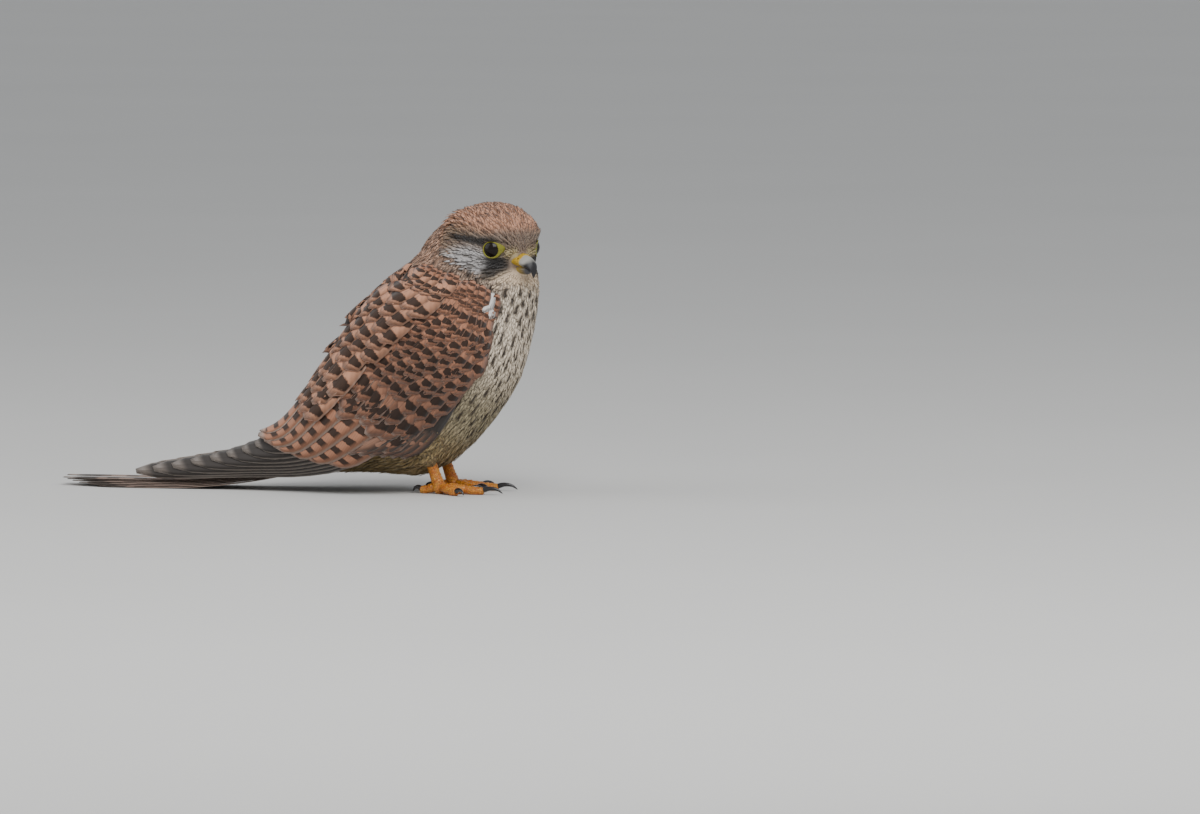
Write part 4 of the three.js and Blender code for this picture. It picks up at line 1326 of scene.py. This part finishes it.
def ring_net(side):
    """A flattened tube from the ball out to the feathers, drawn out in front."""
    ring = bmesh.new()
    bmesh.ops.create_circle(ring, segments=14, radius=1)
    bmesh.ops.rotate(ring, verts=ring.verts, matrix=Matrix.Rotation(math.pi / 2, 3, "X"))
    bmesh.ops.translate(ring, verts=ring.verts, vec=(4, 0, 0))
    circle = [*ring.verts, *ring.edges]
    bmesh.ops.spin(ring, geom=circle, axis=(0, 0, 1), angle=2 * math.pi, steps=40, use_merge=True)
    bmesh.ops.remove_doubles(ring, verts=ring.verts, dist=1e-5)
    look, ahead, up = eye_axes(side)
    corners = corners_of(ring.verts)
    around = np.arctan2(corners[:, 1], corners[:, 0])
    outward = (np.hypot(corners[:, 0], corners[:, 1]) - 4) * 0.5 + 0.5
    length = np.where(np.cos(around) > 0, EYE_RING["front"], EYE_RING["behind"])
    height = np.where(np.sin(around) > 0, EYE_RING["above"], EYE_RING["below"])
    reach = 1 / np.hypot(np.cos(around) / length, np.sin(around) / height)
    aim = np.cos(around)[:, None] * ahead + np.sin(around)[:, None] * up
    depth = math.sqrt(EYE["radius"] ** 2 - EYE_RING["inner"] ** 2)
    inner = eye_centre(side) + look * depth + aim * EYE_RING["inner"]
    outer = eye_centre(side) + look * (depth + 0.3) + aim * reach[:, None]
    on_face, outs = on_skin(to_frame(in_head(outer)))
    outer = on_face + outs * EYE_RING_OVER_SKIN * MM
    inner = to_frame(in_head(inner))
    level = inner + (outer - inner) * outward[:, None]
    bulge = unit(outs * outward[:, None] + (head_axes @ look) * (1 - outward[:, None]))
    for vert, spot in zip(ring.verts, level + bulge * (corners[:, 2] * EYE_RING_THICK * MM)[:, None]):
        vert.co = spot
    bmesh.ops.recalc_face_normals(ring, faces=ring.faces)
    return ring


glass = Finish("eye", 0.15, Coat_Weight=0.25, Coat_Roughness=0.08, Specular_IOR_Level=0.12)
glass.feed("Base Color", glass.mixed(glass.noise(500.0, 3.0), shade("#080605"), shade("#1d130d")))
lid_skin = Finish("eye ring skin", 0.4, Subsurface_Weight=0.1)
lid_skin.feed("Base Color", lid_skin.mixed(lid_skin.noise(900.0), shade("#98921f"), shade("#625d16")))
lid_skin.bump(lid_skin.noise(1600.0, 3.0), 0.5)
for side, label in ((-1, "right"), (1, "left")):
    eye = ringed(f"eyeball_{label}", 48, 32, eye_place(side))
    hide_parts(f"eye_{label}")
    set_finish(eye, glass.material)
    ring_piece = piece_of(f"eye_ring_{label}", ring_net(side))
    set_finish(ring_piece, lid_skin.material)

# %% [markdown]
# ## Legs and claws
# The shank and toes are tubes with a row of broad scales over the top, each one a small step in the
# tube. Three toes point ahead and one behind, and each ends in a curved black claw. Where they touch
# the floor they are pressed flat.

# %% Tubes with scales
foot = np.array([-2.0, -15.0, 0.0])
TOES = [("inner", 24, 19), ("middle", -2, 27), ("outer", -45, 20), ("hind", 172, 12)]
TOE_RADIUS = 2.7
BALL_RADIUS = 4.0
FLOOR_CLEAR = 0.02


def on_floor(spots):
    return np.stack([spots[:, 0], spots[:, 1], np.maximum(spots[:, 2], FLOOR_CLEAR)], -1)


def tube(points, radius_at, scutes=0, lift=0.0):
    line = Line(points)

    def place(t, angle):
        way = line.heading(t)
        side = unit(np.cross([0, 0, 1.0], way))
        up = unit(np.cross(way, side))
        end = np.sqrt(np.maximum(0, 1 - np.abs(2 * t - 1) ** 14))
        step = (t * scutes) % 1 if scutes else 0.5
        scale = 1 + lift * (step - 0.5) * np.maximum(0, np.cos(angle)) ** 0.5
        radius = radius_at(t) * end * scale
        across, high = (np.sin(angle) * radius)[:, None], (np.cos(angle) * radius)[:, None]
        return on_floor(line.at(t) + side * across + up * high)
    return place


def toe_points(foot, heading, length):
    ahead = np.array([math.cos(math.radians(heading)), math.sin(math.radians(heading)), 0])
    at = lambda share, z: foot * [1, 1, 0] + ahead * length * share + [0, 0, z]
    toe = [at(0, 3.6), at(0.3, 3.6), at(0.62, 2.6), at(0.85, 2.1), at(1, 2.2)]
    return toe, [at(0.96, 2.6), at(1.12, 3.7), at(1.3, 3.1), at(1.42, 0.9)]


def foot_ball(t, angle):
    return on_floor(foot + [0, 0, BALL_RADIUS - 0.3] + ball_point(t, angle) * BALL_RADIUS)


def mirrored(place, side):
    return place if side < 0 else lambda t, angle: place(t, angle) * [1, -1, 1]


scaled = Finish("leg skin", 0.45, Subsurface_Weight=0.08)
to_edge = {"feature": "DISTANCE_TO_EDGE"}
scale_edge = scaled.node("ShaderNodeTexVoronoi", to_edge, Vector=scaled.place(), Scale=650.0)
orange = scaled.mixed(scaled.noise(300.0, 3.0).over(0.35, 0.7), shade("#b96a1b"), shade("#cf8a2c"))
scaled.feed("Base Color", scaled.mixed(scale_edge.over(0.0, 0.1), shade("#7d4310"), orange))
scaled.bump(scale_edge.over(0.0, 0.2), 0.6)
talon = Finish("claw horn", 0.25, Coat_Weight=0.2)
talon.feed("Base Color", talon.mixed(talon.noise(600.0), shade("#0e0d10"), shade("#2a2628")))
talon.bump(talon.noise(900.0), 0.1, 0.0002)
shank = foot + [[0, 0, 4], [-3, 0, 12], [-9, -1, 30]]


def toe_radius(t):
    """Thick at the root, with a pad at each joint."""
    return mix(TOE_RADIUS, TOE_RADIUS * 0.82, t) * (1 + 0.07 * np.cos(t * 3 * 2 * math.pi))


def shank_radius(t):
    return 3 + 0.9 * (1 - t) ** 2


def claw_radius(t):
    return 1.55 * (1 - t) ** 0.75 + 0.12


for side, label in ((-1, "right"), (1, "left")):
    leg = ringed(f"shank_{label}", 24, 60, mirrored(tube(shank, shank_radius, 9, 0.14), side))
    set_finish(leg, scaled.material)
    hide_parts(f"leg_{label}")
    ball = ringed(f"foot_{label}", 28, 20, mirrored(foot_ball, side))
    set_finish(ball, scaled.material)
    for name, heading, length in TOES:
        toe_line, claw_line = toe_points(foot, heading, length)
        toe = ringed(f"toe_{label}_{name}", 20, 72, mirrored(tube(toe_line, toe_radius, 9, 0.2), side))
        set_finish(toe, scaled.material)
        claw = ringed(f"talon_{label}_{name}", 16, 24, mirrored(tube(claw_line, claw_radius), side))
        set_finish(claw, talon.material)
        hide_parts(f"claw_{label}_{name}")

# %% [markdown]
# ## Camera, light and floor
# The view is a long lens from a little above the feet and a little to the bird's front. The light is
# the flat light of a grey day: one broad lamp high in front and a pale sky all round.

# %% Camera
AZIMUTH, ELEVATION = math.radians(15), math.radians(4)
PICTURE = (1200, 814)
FOOT_PIXEL = (450, 492)
MM_PER_PIXEL = 0.58
CAMERA_AWAY = 7.0
right_way = Vector((math.cos(AZIMUTH), math.sin(AZIMUTH), 0))
ahead_way = Vector((0, 0, 1)).cross(right_way) * math.cos(ELEVATION) - Vector((0, 0, math.sin(ELEVATION)))
up_way = right_way.cross(ahead_way)
aim_at = Vector(to_frame([0, 0, 0]))
aim_at += right_way * (PICTURE[0] / 2 - FOOT_PIXEL[0]) * MM_PER_PIXEL * MM
aim_at += up_way * (FOOT_PIXEL[1] - PICTURE[1] / 2) * MM_PER_PIXEL * MM
lens = bpy.data.cameras.new("camera")
lens.sensor_width = 36
lens.lens = lens.sensor_width * CAMERA_AWAY / (PICTURE[0] * MM_PER_PIXEL * MM)
camera = in_scene("camera", lens)
camera.location = aim_at - ahead_way * CAMERA_AWAY
camera.rotation_euler = ahead_way.to_track_quat("-Z", "Y").to_euler()
bpy.context.scene.camera = camera
print("lens", round(lens.lens), "mm")

# %% Floor and light
floor_net = bmesh.new()
bmesh.ops.create_grid(floor_net, x_segments=2, y_segments=2, size=20)
floor = in_scene("floor", mesh_of("floor", floor_net))
pale = Finish("pale floor", 0.9)
pale.feed("Base Color", pale.mixed(pale.noise(3.0), shade("#c9c8c5"), shade("#c4c3c0")))
floor.data.materials.append(pale.material)
floor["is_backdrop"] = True

world = bpy.data.worlds.new("sky")
world.use_nodes = True
world.node_tree.nodes["Background"].inputs[0].default_value = shade("#e3e6ea")
world.node_tree.nodes["Background"].inputs[1].default_value = 0.75
bpy.context.scene.world = world


def lamp(name, place, size, power):
    light = bpy.data.lights.new(name, "AREA")
    light.size = size
    light.energy = power
    holder = in_scene(name, light)
    holder.location = place
    holder.rotation_euler = (Vector((0, 0, 0.08)) - Vector(place)).to_track_quat("-Z", "Y").to_euler()


lamp("key", (0.9, -1.4, 1.8), 1.6, 52)
lamp("fill", (-1.6, -0.6, 1.0), 1.8, 14)

# %% [markdown]
# ## Both sizes

# %% Print both boxes
visual_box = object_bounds()
plain = [[list(map(float, corner)) for corner in box] for box in (cad_box, visual_box)]
print("cad", np.round(plain[0], 4).tolist(), "visual", np.round(plain[1], 4).tolist())
